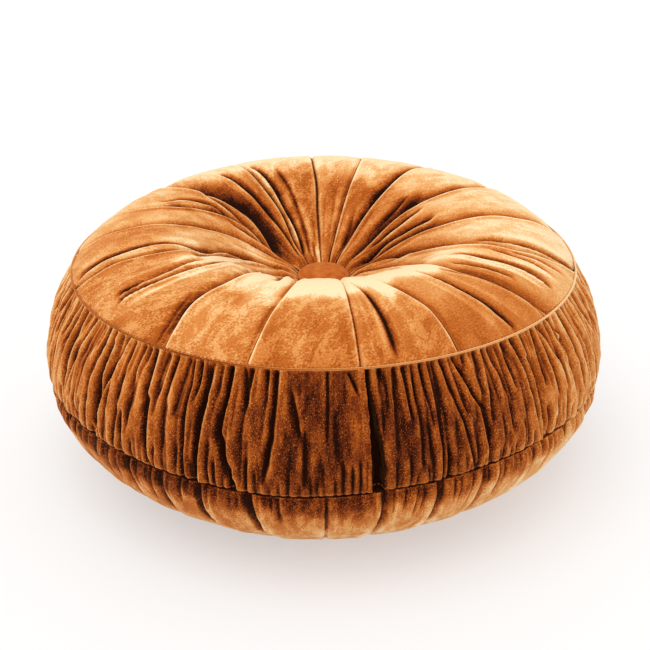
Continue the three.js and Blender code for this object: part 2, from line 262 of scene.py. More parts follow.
def uneven(azimuth, share, round_cells, down_cells, seed):
    """Smooth random numbers from -1 to 1 over the cover, which close up round it."""
    knots = np.random.default_rng(seed).uniform(-1, 1, (down_cells + 2, round_cells))
    u = np.asarray(azimuth) / 360 * round_cells
    v = np.clip(share, 0, 1) * down_cells + 0 * u
    column, row = np.floor(u).astype(int), np.floor(v).astype(int)
    s, t = u - column, v - row
    s, t = s * s * (3 - 2 * s), t * t * (3 - 2 * t)
    left, right = column % round_cells, (column + 1) % round_cells
    upper = knots[row, left] * (1 - s) + knots[row, right] * s
    lower = knots[row + 1, left] * (1 - s) + knots[row + 1, right] * s
    return upper * (1 - t) + lower * t


def roughened(values, azimuth, share, layers):
    """Adds layers of uneven numbers: (size, cells round, cells down, seed) each."""
    for size, *cells in layers:
        values = values + size * uneven(azimuth, share, *cells)
    return values


sample = uneven(np.linspace(0, 360, 500), 0.5, 90, 12, 5)
print("uneven numbers run from", sample.min().round(2), "to", sample.max().round(2))

# %% [markdown]
# ## Meshes from grids
# Every panel is a grid of points: rows run along the seams and columns across them. A grid
# gives even four-sided faces that follow the cloth's own threads, which shade smoothly and
# are easy to simulate. Each point also carries what the velvet needs to know there: which way
# its nap lies, with painted light mixed in, the painted highlights and shade of its bends, and
# where it lies on the flat cloth.

# %% From points to a piece
def make_piece(name, points, faces):
    """A smooth mesh object from points in millimetres and the faces that join them."""
    mesh = bpy.data.meshes.new(name)
    placed = points.reshape(-1, 3) + [AXIS[0], AXIS[1], 0]
    mesh.from_pydata((placed * MM).tolist(), [], faces.tolist())
    mesh.shade_smooth()
    mesh.update()
    piece = bpy.data.objects.new(name, mesh)
    bpy.context.scene.collection.objects.link(piece)
    return piece


def new_piece(name, points, round_and_round=False):
    """Makes a mesh object from a grid of points in millimetres (rows, columns, 3)."""
    rows, columns = points.shape[:2]
    index = np.arange(rows * columns).reshape(rows, columns)
    if round_and_round:
        index = np.hstack([index, index[:, :1]])
    corners = [index[:-1, :-1], index[1:, :-1], index[1:, 1:], index[:-1, 1:]]
    return make_piece(name, points, np.stack([corner.ravel() for corner in corners], -1))


def normals(points):
    """The direction that the cloth faces at each point of a grid."""
    faces = np.cross(np.gradient(points, axis=0), np.gradient(points, axis=1))
    return faces / (np.linalg.norm(faces, axis=2)[..., None] + 1e-9)


def bend(points, reach):
    """How far each point stands above the middle of its neighbours a reach away, in mm."""
    step = np.linalg.norm(np.diff(points, axis=1), axis=2).mean()
    apart = max(1, round(reach / step))
    padded = np.pad(points, ((0, 0), (apart, apart), (0, 0)), "edge")
    before, after = padded[:, :-2 * apart], padded[:, 2 * apart:]
    return ((points - (before + after) / 2) * normals(points)).sum(-1)


steps = np.arange(5.0)
flat_cloth = np.stack([*np.meshgrid(steps, steps, indexing="ij"), np.zeros((5, 5))], -1)
print("flat cloth faces", normals(flat_cloth)[2, 2].round(2))


# %% Painted highlights and shade of the folds
# Painted side light: slopes turned towards azimuth 215, on the key light's side, are painted
# lighter.
PAINTED_SIDE_LIGHT = 2.6
PAINTED_LIGHT_FROM = math.radians(215)
PAINTED_LIGHT_TOWARDS = np.array([math.cos(PAINTED_LIGHT_FROM), math.sin(PAINTED_LIGHT_FROM), 0.0])
SHARPEST_VALLEY, SHARPEST_RIDGE = -8, 5  # a sharper bend gets no brighter painted highlight and no darker painted shade


def painted_fold_shading(points, plain, reaches=(2.5, 7.0)):
    """Painted highlight above 0, painted shade below 0.

    Ridges are painted lighter and valleys darker, both looked for at two sizes. Slopes that
    face the front left, where the key light stands, are painted lighter and slopes that face
    away are painted darker, so a crease's two sides differ. The plain points are those of the
    same cloth without its creases.
    """
    slant_to_light = ((normals(points) - normals(plain)) * PAINTED_LIGHT_TOWARDS).sum(-1)
    bend_shading = np.clip(sum(bend(points, reach) for reach in reaches), SHARPEST_VALLEY, SHARPEST_RIDGE)
    return bend_shading + PAINTED_SIDE_LIGHT * slant_to_light


print("opening of flat cloth:", float(np.abs(painted_fold_shading(flat_cloth, flat_cloth)).max()))


# %% Numbers that a mesh carries for its material
def give_values(piece, allowance=0, **values):
    """Stores named numbers for each point of the mesh, for a material to read.

    The allowance says how many rows and columns the mesh has beyond the grid of the values.
    """
    for name, value in values.items():
        padded = np.pad(value, allowance, "edge").astype(np.float32)
        attribute = piece.data.attributes.new(name, "FLOAT", "POINT")
        attribute.data.foreach_set("value", padded.ravel())


def give_cloth(piece, across, down, allowance=0):
    """Stores where each point lies on the flat cloth, in millimetres."""
    flat = [np.pad(value, allowance, "edge") for value in (across, down, np.zeros_like(across))]
    attribute = piece.data.attributes.new("cloth_mm", "FLOAT_VECTOR", "POINT")
    attribute.data.foreach_set("vector", np.stack(flat, -1).astype(np.float32).ravel())


def nap_round(table, azimuth):
    """How far the pile is laid over round the pouf, from rows of azimuth and nap."""
    azimuths, naps = np.array(table).T
    return np.interp(azimuth, azimuths, naps, period=360)


print("halfway between two rows the nap is", nap_round([(0, 0.2), (90, 0.4)], 45).round(2))


# %% [markdown]
# ## The gored top
# On the real pouf the top is sixteen wedges of velvet sewn side to side. The thread of the
# button draws them down, so each seam is a valley, each gore is a pillow, and spare cloth lies
# in folds. A fold in cloth leans over: one side is a crisp edge and the other a gentle slope,
# so each seam and fold is written as the line of its edge, a depth and the side it falls to.
# Each gore is a grid between two seams, with its edges turned down as a seam allowance.

# %% Seams and folds of the top
SEAM_SHARES = (0.1, 0.3, 0.45, 0.6, 0.8, 1.0)
TOP_SEAMS = [
    # azimuths at those shares, depths at the slope, crown and rim, side, width of the slope
    ((18, 13, 5, 0, 2.4, 7), (12, 9, 4), 1, 14),
    ((42, 41, 35.3, 29.2, 30, 35), (9, 8, 4), 1, 12),
    ((65, 62, 58.5, 56, 55.5, 56), (5, 4, 1), 1, 6),
    ((79.6, 78.2, 76.8, 75.8, 77.8, 81), (2, 1.2, 0.8), 1, 2.5),
    ((94, 94, 93.5, 94.2, 94, 93), (3, 3, 2.5), -1, 1.6),
    ((120, 117, 119, 120.5, 119, 117), (6, 3, 1), -1, 3),
    ((149, 141, 144.2, 149, 148, 145), (13, 7, 1), -1, 24),
    ((152, 148.8, 157.5, 168.5, 169.5, 165), (9, 10, 1), -1, 5),
    ((160, 166.5, 178, 185.8, 185.2, 181), (6, 8, 3), -1, 7),
    ((183, 193, 207, 212, 206, 200.8), (8, 8, 6), -1, 6),
    ((208, 229, 241, 243, 238, 237), (8, 10, 1.2), -1, 8),
    ((238, 253, 261, 261, 257.6, 255.2), (7, 4, 1.5), -1, 5),
    ((284, 279, 276, 276.3, 276.7, 277), (3, 1.6, 1.6), 1, 2),
    ((305, 292, 284, 287.6, 295, 297.5), (4, 3, 1), 1, 5),
    ((345, 321, 309.5, 310, 317.5, 323.5), (18, 8, 3), 1, 15),
    ((368, 346, 336, 333, 338.5, 347.5), (18, 15, 4), 1, 15),
]
# These naps hold painted light as well as the pile's tone: they make the top lighter than the band,
# and some gores lighter or darker as the light falls on them.
GORE_NAPS_AND_PAINTED_LIGHT = [  # pile laid over inside and outside, the share where it changes, how crushed it is
    (0.68, 0.74, 0.42, 0.12),
    (0.52, 0.76, 0.46, 0.14),
    (0.46, 0.76, 0.46, 0.16),
    (0.5, 0.78, 0.5, 0.16),
    (0.56, 0.8, 0.58, 0.2),
    (0.58, 0.78, 0.6, 0.16),
    (0.54, 0.6, 0.6, 0.14),
    (0.6, 0.54, 0.6, 0.12),
    (0.6, 0.46, 0.6, 0.14),
    (0.6, 0.5, 0.66, 0.2),
    (0.94, 0.74, 0.72, 0.2),
    (1.16, 0.62, 0.7, 0.18),
    (1.18, 0.6, 0.67, 0.16),
    (1.02, 0.54, 0.62, 0.07),
    (0.78, 0.64, 0.6, 0.08),
    (0.7, 0.76, 0.48, 0.12),
]
TOP_FOLDS = [  # places of the crisp edge as share and azimuth, depth, side, width of the slope
    ([(0.08, 107), (0.16, 103.5), (0.36, 104.6), (0.56, 108.5)], 2, 1, 5),
    ([(0.08, 118), (0.2, 113.6), (0.45, 115.5), (0.62, 118.5)], 6, -1, 7),
    ([(0.08, 127), (0.18, 124.4), (0.36, 126.4), (0.62, 131.4)], 4, -1, 5),
    ([(0.3, 146), (0.4, 148), (0.5, 149.2), (0.57, 149)], 3, -1, 3),
    ([(0.36, 150.6), (0.46, 153), (0.56, 159), (0.64, 164)], 3, -1, 3),
    ([(0.14, 151), (0.22, 153.4), (0.34, 156.8)], 3, -1, 4),
    ([(0.2, 184), (0.4, 200.4), (0.53, 206.4), (0.67, 204.6), (0.94, 198.6)], 7, -1, 7),
    ([(0.12, 190), (0.25, 201), (0.4, 215), (0.52, 220)], 15, -1, 15),
    ([(0.42, 224), (0.57, 229.6), (0.71, 226.4), (0.89, 219.6)], 9, -1, 5),
    ([(0.58, 223.8), (0.7, 223), (0.88, 217.6)], 5, -1, 4),
    ([(0.1, 220), (0.28, 245), (0.42, 253.6), (0.56, 256)], 7, -1, 8),
    ([(0.78, 236), (0.98, 235.2)], 1.2, -1, 1.2),
    ([(0.6, 278.4), (0.69, 281.2), (0.82, 283.2), (0.96, 284)], 3.4, 1, 3),
    ([(0.6, 301.6), (0.72, 305), (0.84, 308.5), (0.97, 311.6)], 3.5, 1, 3),
    ([(0.64, 308.4), (0.74, 313.5), (0.9, 319.6), (0.98, 321.6)], 3, 1, 3),
    ([(0.62, 316), (0.72, 320.5), (0.8, 323)], 3, 1, 3),
    ([(0.58, 322), (0.68, 324.6), (0.78, 327.6), (0.9, 330.4)], 9, 1, 5),
    ([(0.68, 331), (0.89, 335)], 2.5, 1, 3),
    ([(0.74, 334.4), (0.92, 339)], 2.5, 1, 3),
    ([(0.72, 341.6), (0.86, 344.8), (0.99, 348.5)], 6, 1, 4),
    ([(0.6, 340), (0.68, 341), (0.76, 343.4)], 4, 1, 4),
    ([(0.2, 352), (0.34, 343), (0.46, 338.5)], 4, 1, 5),
    ([(0.1, 22), (0.2, 25.4), (0.3, 23), (0.4, 18.6)], 8, 1, 9),
    ([(0.18, 34.4), (0.28, 33), (0.4, 30)], 5, 1, 5),
    ([(0.28, 46.6), (0.44, 44)], 2.5, 1, 4),
    ([(0.1, 66), (0.3, 68)], 1.5, 1, 4),
    ([(0.05, 100), (0.12, 99)], 3, 1, 4),
]
print(len(TOP_SEAMS), "seams and", len(TOP_FOLDS), "folds on the top")

# %% Fineness, depths, brushed patches and painted shade of the top
TOP_ROWS = 150
COLUMNS_PER_DEGREE = 3.0
PILLOW_DEPTH = 2.2
DEEPEST_VALLEY = 18.0
VALLEY_SHADE = 1.0  # painted shade for each millimetre of a valley's depth
SHADED_DEPTH = 9.0
SOFT_VALLEYS = (224, 30, 0.5)  # azimuth, half width, how much less painted shade the valleys get there
PAINTED_SEAM_SHADOWS = {0: 0.16, 1: 0.24, 2: 0.26}  # gore: how much painted shadow lies behind its seam
PAINTED_SHADOW_WIDTH = 14.0
FULL_FOLD_RADIUS = 125.0  # nearer to the well the folds are narrower
TOP_NAP_AND_SHADE_PATCHES = [  # azimuth, half width, share, half height, more or less nap; the rows with less nap at 137.5, 155 and 165 degrees are painted shade in deep valleys, and the row at 97.5 is a painted highlight on a lit fold by the button
    (97.5, 4, 0.04, 0.07, 0.5),
    (300, 5, 0.72, 0.08, 0.12),
    (232, 7, 0.7, 0.07, 0.14),
    (337, 6, 0.86, 0.1, 0.1),
    (205, 4, 0.8, 0.12, 0.1),
    (265, 5, 0.9, 0.06, 0.1),
    (247, 5, 0.72, 0.05, -0.12),
    (222, 8, 0.93, 0.05, 0.1),
    (12, 4, 0.43, 0.05, 0.12),
    (70, 6, 0.52, 0.05, 0.1),
    (171, 8, 0.22, 0.1, 0.26),
    (137.5, 4, 0.27, 0.2, -0.3),
    (165, 2.5, 0.57, 0.06, -0.3),
    (155, 2.5, 0.43, 0.07, -0.25),
    (125, 5, 0.2, 0.2, -0.08),
    (226, 12, 0.78, 0.2, 0.12),
    (218, 9, 0.5, 0.12, 0.1),
    (200, 7, 0.45, 0.12, 0.1),
]
ALLOWANCE_DEPTH = 4.0
DEEP_NAP = 0.56  # the pile deep in the well, where hands don't brush it
CROWN_LIFTS = [(92, 38, 4.0), (215, 25, 1.0)]  # azimuth, half width, lift in millimetres
DEPTH_SHARES = (0, 0.3, 0.6, 1)
DEPTH_AT_BUTTON = 0.5
NARROWEST = 0.25  # the width of a fold at the button, as a part of its full width
FOLD_FADE = 0.1
print("the top's seams are shaded down to", SHADED_DEPTH, "mm")


# %% Lines, depths and patches at any point of the top
def patched(patches, azimuth, share):
    """How much a patch raises or lowers the number of the pile's tone, from rows of soft patches.
    """
    total = 0 * azimuth
    for middle, half_width, height, half_height, change in patches:
        sideways = turn_from(middle, azimuth) / half_width
        total = total + change * np.exp(-sideways ** 2 - ((share - height) / half_height) ** 2)
    return total


def curve_through(places, share):
    """The azimuth at each share, on a smooth curve through a few places."""
    line = smooth_line(places)
    return np.interp(share, line[:, 0], line[:, 1])


def seam_azimuth(seam, share):
    """Where a seam of the top lies."""
    return curve_through(list(zip(SEAM_SHARES, seam[0])), share)


def seam_depth(seam, share):
    """How far the seam is drawn in at each share."""
    return curve_through(list(zip(DEPTH_SHARES, (DEPTH_AT_BUTTON, *seam[1]))), share)


def narrowing(share):
    """The width of a fold as a part of its full width."""
    return np.clip(TOP.radius(share) / FULL_FOLD_RADIUS, NARROWEST, 1)


def fold_sink(azimuth, share):
    """All the folds of the top at each point."""
    radius = TOP.radius(share)
    total = 0 * azimuth
    for places, depth, side, width in TOP_FOLDS:
        edge = curve_through(places, share)
        distance = np.radians(turn_from(edge, azimuth)) * radius
        reach = along(share, places[0][0], places[-1][0], FOLD_FADE)
        total = total + leaning(distance, depth, side, width * narrowing(share)) * reach
    return total


half_way = np.array([[0.5]])
print("the first seam passes azimuth", round(float(seam_azimuth(TOP_SEAMS[0], half_way)[0, 0]), 1))


# %% Pleats out of the well
HIDDEN_FROM, HIDDEN_TO = 205, 340  # inner slopes that the photo's side doesn't show
WIDE_GORE = 25  # degrees at the button, above which a gore has three pleats and not two
PLEAT_DEPTHS = (1.8, 3.2)
SHALLOWER = 0.45  # pleats that show are this much shallower
PLEAT_ENDS = (0.22, 0.42)
PLEAT_START, PLEAT_WIDTH = 0.01, 2.6


def well_pleats(dice):
    """Narrow pleats out of the well: (azimuth, share) at both ends, depth and width."""
    pleats = []
    for seam, following in zip(TOP_SEAMS, TOP_SEAMS[1:] + TOP_SEAMS[:1]):
        width = (following[0][0] - seam[0][0]) % 360
        outer_width = (following[0][1] - seam[0][1]) % 360
        count = 2 + (width > WIDE_GORE)
        for k in range(count):
            phase = (k + 0.5 + dice.uniform(-0.2, 0.2)) / count
            inner, outer = seam[0][0] + phase * width, seam[0][1] + phase * outer_width
            depth = dice.uniform(*PLEAT_DEPTHS)
            if not HIDDEN_FROM < inner % 360 < HIDDEN_TO:
                depth = SHALLOWER * depth
            end = dice.uniform(*PLEAT_ENDS)
            pleats.append((inner, PLEAT_START, outer, end, depth, PLEAT_WIDTH))
    return pleats


top_pleats = well_pleats(np.random.default_rng(11))
print(len(top_pleats), "pleats round the button")

# %% [markdown]
# ## The sixteen gores
# A gore is cut as a long wedge, sewn to its neighbours with the allowance turned to the back.
# Its grid is laid between two seam lines, with the columns crowded towards the seams where
# the cloth bends most. The cloth could also be inflated with Blender's Cloth and pressure. On
# this pouf the folds are the likeness, and pressure softens them, so the pillow between
# two seams is a short formula.

# %% Edges of a gore
UNDER_BUTTON_SHARE, UNDER_BUTTON_DROP = 0.8, 5  # how far in and down the cloth is drawn there


def lift_at(lifts, azimuth):
    """How far the filling stands up or the hand-sewn seam wanders, from rows of lifts."""
    return sum(lift * np.exp(-(turn_from(a, azimuth) / w) ** 2) for a, w, lift in lifts)


def turned_down(points, side, depth):
    """Adds one column of points below the first or last one, as a seam allowance."""
    edge = points[:, side].copy()
    edge[:, 2] -= depth
    edge = edge[:, None]
    return np.hstack([edge, points]) if side == 0 else np.hstack([points, edge])


def under_button(points):
    """Adds one row of points under the button, where the cloth is drawn in."""
    inner = points[0].copy()
    inner[:, :2] *= UNDER_BUTTON_SHARE
    inner[:, 2] -= UNDER_BUTTON_DROP
    return np.concatenate([inner[None], points])


print("the crown stands up by", round(float(lift_at(CROWN_LIFTS, 92)), 1), "mm at the back")


# %% The grid of a gore, and how deep its cloth lies
CROWDING = 0.09  # how far the columns are crowded towards the seams
STITCH_PULL = (1.2, 1.2, 1.5)  # depth, half width and sharpness of the dent that a thread makes
FLAT_RIM = 0.8  # how much of the pillow is gone at the rim
GORE_PULLS = [(0.35, 60, 6, 3)]  # degrees, cells round and down, seed
GORE_LUMPS = [(0.5, 90, 12, 5)]  # millimetres, cells round and down, seed


def gore_grid(seam, following, share):
    """The azimuth of each point, and how far it lies from the seams at its two sides."""
    left = seam_azimuth(seam, share)
    width = (seam_azimuth(following, share) - left) % 360
    columns = int(COLUMNS_PER_DEGREE * width[TOP_ROWS // 2:].mean()) + 2
    phase = np.linspace(0, 1, columns)[None, :]
    phase = phase - CROWDING * np.sin(2 * np.pi * phase)
    across = np.radians(width) * TOP.radius(share)
    return left + width * phase, phase, across * phase, across * (1 - phase)


def gore_sink(seam, following, share, azimuth, phase, from_left, from_right):
    """How far each point is drawn in, and how much of that is folds and the slopes of seams."""
    fade = ease(share, -0.02, 0.05)
    flatter = 1 - FLAT_RIM * ease(share, 0.4, 0.65)
    sink = PILLOW_DEPTH * np.abs(2 * phase - 1) ** 3 * flatter
    pulled = roughened(azimuth, azimuth, share, GORE_PULLS)
    valleys = fold_sink(pulled, share)
    for line, distance in ((seam, from_left), (following, -from_right)):
        side, slope_width = line[2:]
        depth = seam_depth(line, share)
        valleys = valleys + leaning(distance, depth, side, slope_width * narrowing(share))
        sink = sink + trough(distance, *STITCH_PULL)
    valleys = np.minimum(valleys, DEEPEST_VALLEY) * fade
    sink = sink + crease_depth(TOP, pulled, share, top_pleats)
    return roughened(sink, azimuth, share, GORE_LUMPS) * fade + valleys, valleys


print("a thread makes a dent", STITCH_PULL[0], "mm deep in the top")


# %% The nap of a gore
PAINTED_SHADE_AT_BUTTON = 0.06  # painted shade: darker towards the button, at the bottom of the well
NAP_EDGE = 0.05  # half the share in which brushed pile goes over into the rest
NAP_WANDERS = [(0.05, 70, 5, 31)]  # share, cells round and down, seed
PAINTED_SHADOW_SHARES = (0.4, 0.86)  # the stretch of painted shadow behind some seams
DEEP_SHARES = (0.36, 0.5)  # where the pile deep in the well goes over into the gore's own


def painted_valley_shade(azimuth, valleys):
    """Painted shade in the valleys of the top."""
    middle, half_width, softer = SOFT_VALLEYS
    shade = 1 - softer * np.exp(-(turn_from(middle, azimuth) / half_width) ** 2)
    return VALLEY_SHADE * shade * np.clip(valleys, 0, SHADED_DEPTH)


def gore_nap(k, azimuth, share, from_left):
    """How far the pile of the k-th gore is laid over, with painted light, painted shade towards the
    button and painted shadows behind some seams.
    """
    inside, outside, change, _ = GORE_NAPS_AND_PAINTED_LIGHT[k]
    change = roughened(change, azimuth, share, NAP_WANDERS)
    inside = DEEP_NAP + (inside - DEEP_NAP) * ease(share, *DEEP_SHARES)
    nap = inside + (outside - inside) * ease(share - change, -NAP_EDGE, NAP_EDGE)
    nap = nap - PAINTED_SHADE_AT_BUTTON * (1 - ease(share, 0.02, 0.3)) + patched(TOP_NAP_AND_SHADE_PATCHES, azimuth, share)
    painted_shadow_behind_seam = np.exp(-(from_left / PAINTED_SHADOW_WIDTH) ** 2) * along(share, *PAINTED_SHADOW_SHARES)
    return nap - PAINTED_SEAM_SHADOWS.get(k, 0) * painted_shadow_behind_seam


print("shade of a deep valley on the left:", round(float(painted_valley_shade(224, 20)), 1))


# %% Make the gores
CLOTH_APART = 300  # millimetres of cloth from one gore's pattern to the next one's


def make_gore(k):
    """One wedge of the top between two seams."""
    seam, following = TOP_SEAMS[k], TOP_SEAMS[(k + 1) % len(TOP_SEAMS)]
    share = np.linspace(0, 1, TOP_ROWS)[:, None]
    azimuth, phase, from_left, from_right = gore_grid(seam, following, share)
    sink, valleys = gore_sink(seam, following, share, azimuth, phase, from_left, from_right)
    lifted = ease(share, 0.3, 0.6) * (1 - ease(share, 0.85, 1))
    lift = lifted * lift_at(CROWN_LIFTS, azimuth)
    points = TOP.place(azimuth, share, sink, lift)
    plain = TOP.place(azimuth, share, 0, lift)
    # Painted highlights on the ridges and painted shade in the folds and valleys, carried as the
    # opening number.
    opening = painted_fold_shading(points, plain) - painted_valley_shade(azimuth, valleys)
    points = turned_down(turned_down(points, 0, ALLOWANCE_DEPTH), -1, ALLOWANCE_DEPTH)
    gore = new_piece(f"top_gore_{k + 1:02d}", under_button(points))
    # The nap number holds painted light, painted shade by the button and painted shadows behind
    # some seams.
    nap = gore_nap(k, azimuth, share, from_left)
    from_seam = np.minimum(from_left, from_right)
    allowance = ((1, 0), (1, 1))
    give_values(gore, allowance, nap=nap, opening=opening, crush=GORE_NAPS_AND_PAINTED_LIGHT[k][-1] + 0 * nap,
                seam_mm=from_seam)
    down = share * TOP.length + 0 * azimuth
    give_cloth(gore, from_left + CLOTH_APART * k, down, allowance)
    return gore, points


gores, gore_grids = zip(*(make_gore(k) for k in range(len(TOP_SEAMS))))
print(len(gores), "gores,", sum(len(g.data.polygons) for g in gores), "faces")

# %% [markdown]
# ## The gathered band
# The band is a long strip, half as long again as the rim it is sewn to, so it lies in
# gathers. Where the spare cloth is pushed together the gathers become deep creases. Those that
# make this pouf's face are listed one by one, as rows. The many small ones between them come
# from seeded dice, because their number and size matter and their exact place doesn't.

# %% Creases of the band
BAND_CREASES = [  # azimuth and share at the upper end, at the lower end, depth, width
    (198, 0, 198, 0.6, 7, 3.5),
    (201, 0, 200.7, 0.4, 3.5, 2),
    (203, 0, 202, 0.9, 5, 2.5),
    (207, 0, 205, 0.35, 4, 2.5),
    (208.6, 0, 207, 0.4, 3.5, 2),
    (211.6, 0, 209.6, 1, 9, 4),
    (213.2, 0, 212.5, 0.25, 3, 2),
    (216.2, 0, 211.3, 0.75, 6, 3),
    (219.5, 0, 218.7, 0.3, 3, 2),
    (222, 0, 221.5, 0.25, 2.5, 2),
    (224.3, 0.12, 222.4, 0.95, 6, 4.5),
    (228.2, 0, 222.3, 1, 10, 4.5),
    (230, 0, 229.8, 0.2, 3, 2),
    (236, 0, 236, 0.4, 6, 4.5),
    (237, 0.4, 236.8, 0.95, 9, 3.5),
    (230.6, 0.6, 230.9, 1, 5, 3),
    (215.5, 0.68, 216, 1, 5, 3.5),
    (239.5, 0, 239, 0.35, 3.5, 2),
    (241.1, 0, 240.5, 0.35, 4, 2),
    (243.6, 0, 243, 0.45, 3.5, 2),
    (245, 0, 244.8, 1, 4.5, 2.5),
    (246.6, 0, 246.5, 0.25, 3, 2),
    (248.9, 0.05, 247.2, 1, 9, 4),
    (253, 0, 252, 0.55, 8, 3.5),
    (252, 0.5, 254.6, 1, 7, 3.5),
    (255.5, 0, 256.4, 0.28, 4, 2),
    (257, 0, 256.4, 0.3, 3, 2),
    (259.8, 0, 260, 0.25, 4, 3),
    (261.6, 0, 261.5, 0.55, 5, 2.5),
    (261.5, 0.5, 260, 0.85, 5, 2.5),
    (264.7, 0.17, 266.3, 0.5, 5, 2.5),
    (266.3, 0.45, 266.4, 0.85, 4.5, 3),
    (270.3, 0, 270.3, 0.5, 3.5, 1.5),
    (271.6, 0.3, 271.8, 0.65, 3, 4),
    (274.4, 0.02, 275.8, 0.18, 5, 2),
    (280.2, 0, 280.3, 0.1, 5, 3),
    (281.2, 0.05, 281, 0.35, 3.5, 2),
    (282.8, 0, 282.3, 0.4, 4, 2.2),
    (284.5, 0, 285.4, 0.4, 5, 2.2),
    (286.5, 0.1, 287.1, 0.8, 4, 2.5),
    (288.3, 0, 289.4, 0.5, 3.5, 2.2),
    (289.9, 0, 291.2, 1, 4.5, 2.2),
    (292, 0.72, 292.2, 1, 6.5, 3.5),
    (292.4, 0, 297.8, 1, 4.5, 2.2),
    (294.3, 0, 296, 0.45, 3.5, 2.2),
    (295.2, 0, 299, 0.45, 9, 3.5),
    (299, 0.4, 300.9, 1, 6.5, 3),
    (302.2, 0, 301.4, 0.6, 4, 4.5),
    (304.5, 0, 304.7, 0.4, 3, 3.5),
    (306.8, 0, 307.7, 0.4, 3.5, 3.5),
    (309.7, 0, 311.5, 0.5, 4.5, 2.2),
    (311.5, 0.45, 313.4, 0.95, 4, 2.2),
    (312.5, 0.24, 314.7, 1, 13, 4.5),
    (315.9, 0, 315.6, 0.5, 3.5, 2.2),
    (318.4, 0, 322, 0.5, 4, 2.2),
    (321.8, 0, 325.2, 0.25, 4, 2),
    (323.9, 0.24, 326.1, 1, 13, 4.5),
    (326.4, 0, 328.5, 0.5, 3.5, 3),
    (329, 0, 331.8, 0.7, 4.5, 2.5),
    (332.7, 0.4, 333.5, 0.92, 9, 4.5),
    (334, 0, 337.5, 0.7, 6, 3.5),
    (336, 0, 340, 0.45, 5, 3),
    (339.6, 0, 341.5, 0.4, 3.5, 3),
    (343.8, 0, 344.5, 0.5, 4, 3),
    (347.4, 0, 351, 0.32, 7, 3.5),
    (318.5, 0.7, 318.8, 1, 4, 3),
    (321.5, 0.65, 321.8, 1, 4, 3),
]
BAND_JOINS = [  # azimuth of the join between two strips, at the top and at the bottom, depth
    (63, 64, 8),
    (131, 130, 8),
    (199.5, 198.5, 8),
    (278.2, 279.5, 0),
    (347.5, 350, 8),
]
OPEN_JOIN = 3  # this join gapes, so it is shaped as a slot and not as a crease
CALM_FROM, CALM_TO = 262.5, 277.5  # the stretch of the band that lies nearly flat
print(len(BAND_CREASES), "creases by hand and", len(BAND_JOINS), "joins on the band")


# %% Long gathers from seeded dice
SIDE_DRIFT = 3.2  # degrees, at the sides
WHOLE, STARTS_AT_RIM, DEEP = 0.5, 0.6, 0.35  # chances of a long gather
LATE_STARTS, EARLY_ENDS = (0.15, 0.5), (0.35, 0.8)  # shares
DEEP_DEPTHS, LESSER_DEPTHS = (6, 10), (3, 5.5)
LONG_WIDTH, WIDTH_PER_DEPTH = 2.2, 0.2
LONG_PITCHES = (2.2, 4.4)  # degrees


def lean(azimuth):
    """Degrees that a long gather drifts round the pouf on its way down: away from the front."""
    return SIDE_DRIFT * math.cos(math.radians(azimuth))


def calm(azimuth):
    """True where the band lies nearly flat."""
    return CALM_FROM < azimuth % 360 < CALM_TO


def long_gathers(dice, start, end):
    """The gathers that run from seam to seam where the photo's side doesn't show the band."""
    rows = []
    azimuth = start
    while azimuth < end:
        whole = dice.random() < WHOLE
        top = 0.0 if whole or dice.random() < STARTS_AT_RIM else dice.uniform(*LATE_STARTS)
        bottom = 1.0 if whole or top > 0 else dice.uniform(*EARLY_ENDS)
        drift = (lean(azimuth) + dice.uniform(-1, 1)) * (bottom - top)
        depth = dice.uniform(*(DEEP_DEPTHS if dice.random() < DEEP else LESSER_DEPTHS))
        width = LONG_WIDTH + depth * WIDTH_PER_DEPTH
        rows.append((azimuth, top, azimuth + drift, bottom, depth, width))
        azimuth += dice.uniform(*LONG_PITCHES)
    return rows


band_dice = np.random.default_rng(29)
band_creases = BAND_CREASES + long_gathers(band_dice, 352, 360 + 196)
print(len(band_creases) - len(BAND_CREASES), "long gathers at the back")


# %% Short gathers from the same dice
PLACE_SPREAD, DRIFT_SPREAD = 0.33, 0.8  # parts of the pitch, degrees
SIZE_SPREAD = (0.5, 1.4)
CALM_GATHERS, CALM_WANDERERS = 0.2, 0.4  # depths in the calm stretch, as parts of the usual ones
WANDERER_MIDDLES, WANDERER_HALVES = (0.3, 0.75), (0.1, 0.25)  # shares
WANDERER_DEPTHS, WANDERER_WIDTHS = (1.2, 2.8), (1.6, 3)


def gathers(dice, pitch, at_top, reach, depth, half_width):
    """Short gathers along one sewn edge, all the way round."""
    rows = []
    count = round(360 / pitch)
    for k in range(count):
        azimuth = (k + dice.uniform(-PLACE_SPREAD, PLACE_SPREAD)) * 360 / count
        length = dice.uniform(*reach)
        drift = (lean(azimuth) + dice.uniform(-DRIFT_SPREAD, DRIFT_SPREAD)) * length
        calmer = CALM_GATHERS if calm(azimuth) and at_top else 1
        size = depth * dice.uniform(*SIZE_SPREAD) * calmer
        ends = (azimuth, 0.0, azimuth + drift, length)
        if not at_top:
            ends = (azimuth - drift, 1 - length, azimuth, 1.0)
        rows.append((*ends, size, half_width))
    return rows


def wandering(dice, count):
    """Soft creases in the middle of the band, which reach neither edge."""
    rows = []
    for k in range(count):
        azimuth = (k + dice.uniform(0, 1)) * 360 / count
        middle = dice.uniform(*WANDERER_MIDDLES)
        half = dice.uniform(*WANDERER_HALVES)
        drift = lean(azimuth) * half
        ends = (azimuth - drift, middle - half, azimuth + drift, middle + half)
        depth = dice.uniform(*WANDERER_DEPTHS) * (CALM_WANDERERS if calm(azimuth) else 1)
        rows.append((*ends, depth, dice.uniform(*WANDERER_WIDTHS)))
    return rows


EDGE_GATHERS = [  # pitch in degrees, at the rim or not, lengths as shares, depth, half width
    (1.7, True, (0.1, 0.5), 2.6, 1.7),
    (1.5, False, (0.08, 0.32), 2.8, 1.5),
    (3.3, True, (0.5, 0.95), 1.8, 1.8),
]
for row in EDGE_GATHERS:
    band_creases += gathers(band_dice, *row)
band_creases += wandering(band_dice, 130)
print(len(band_creases), "creases and gathers on the band")
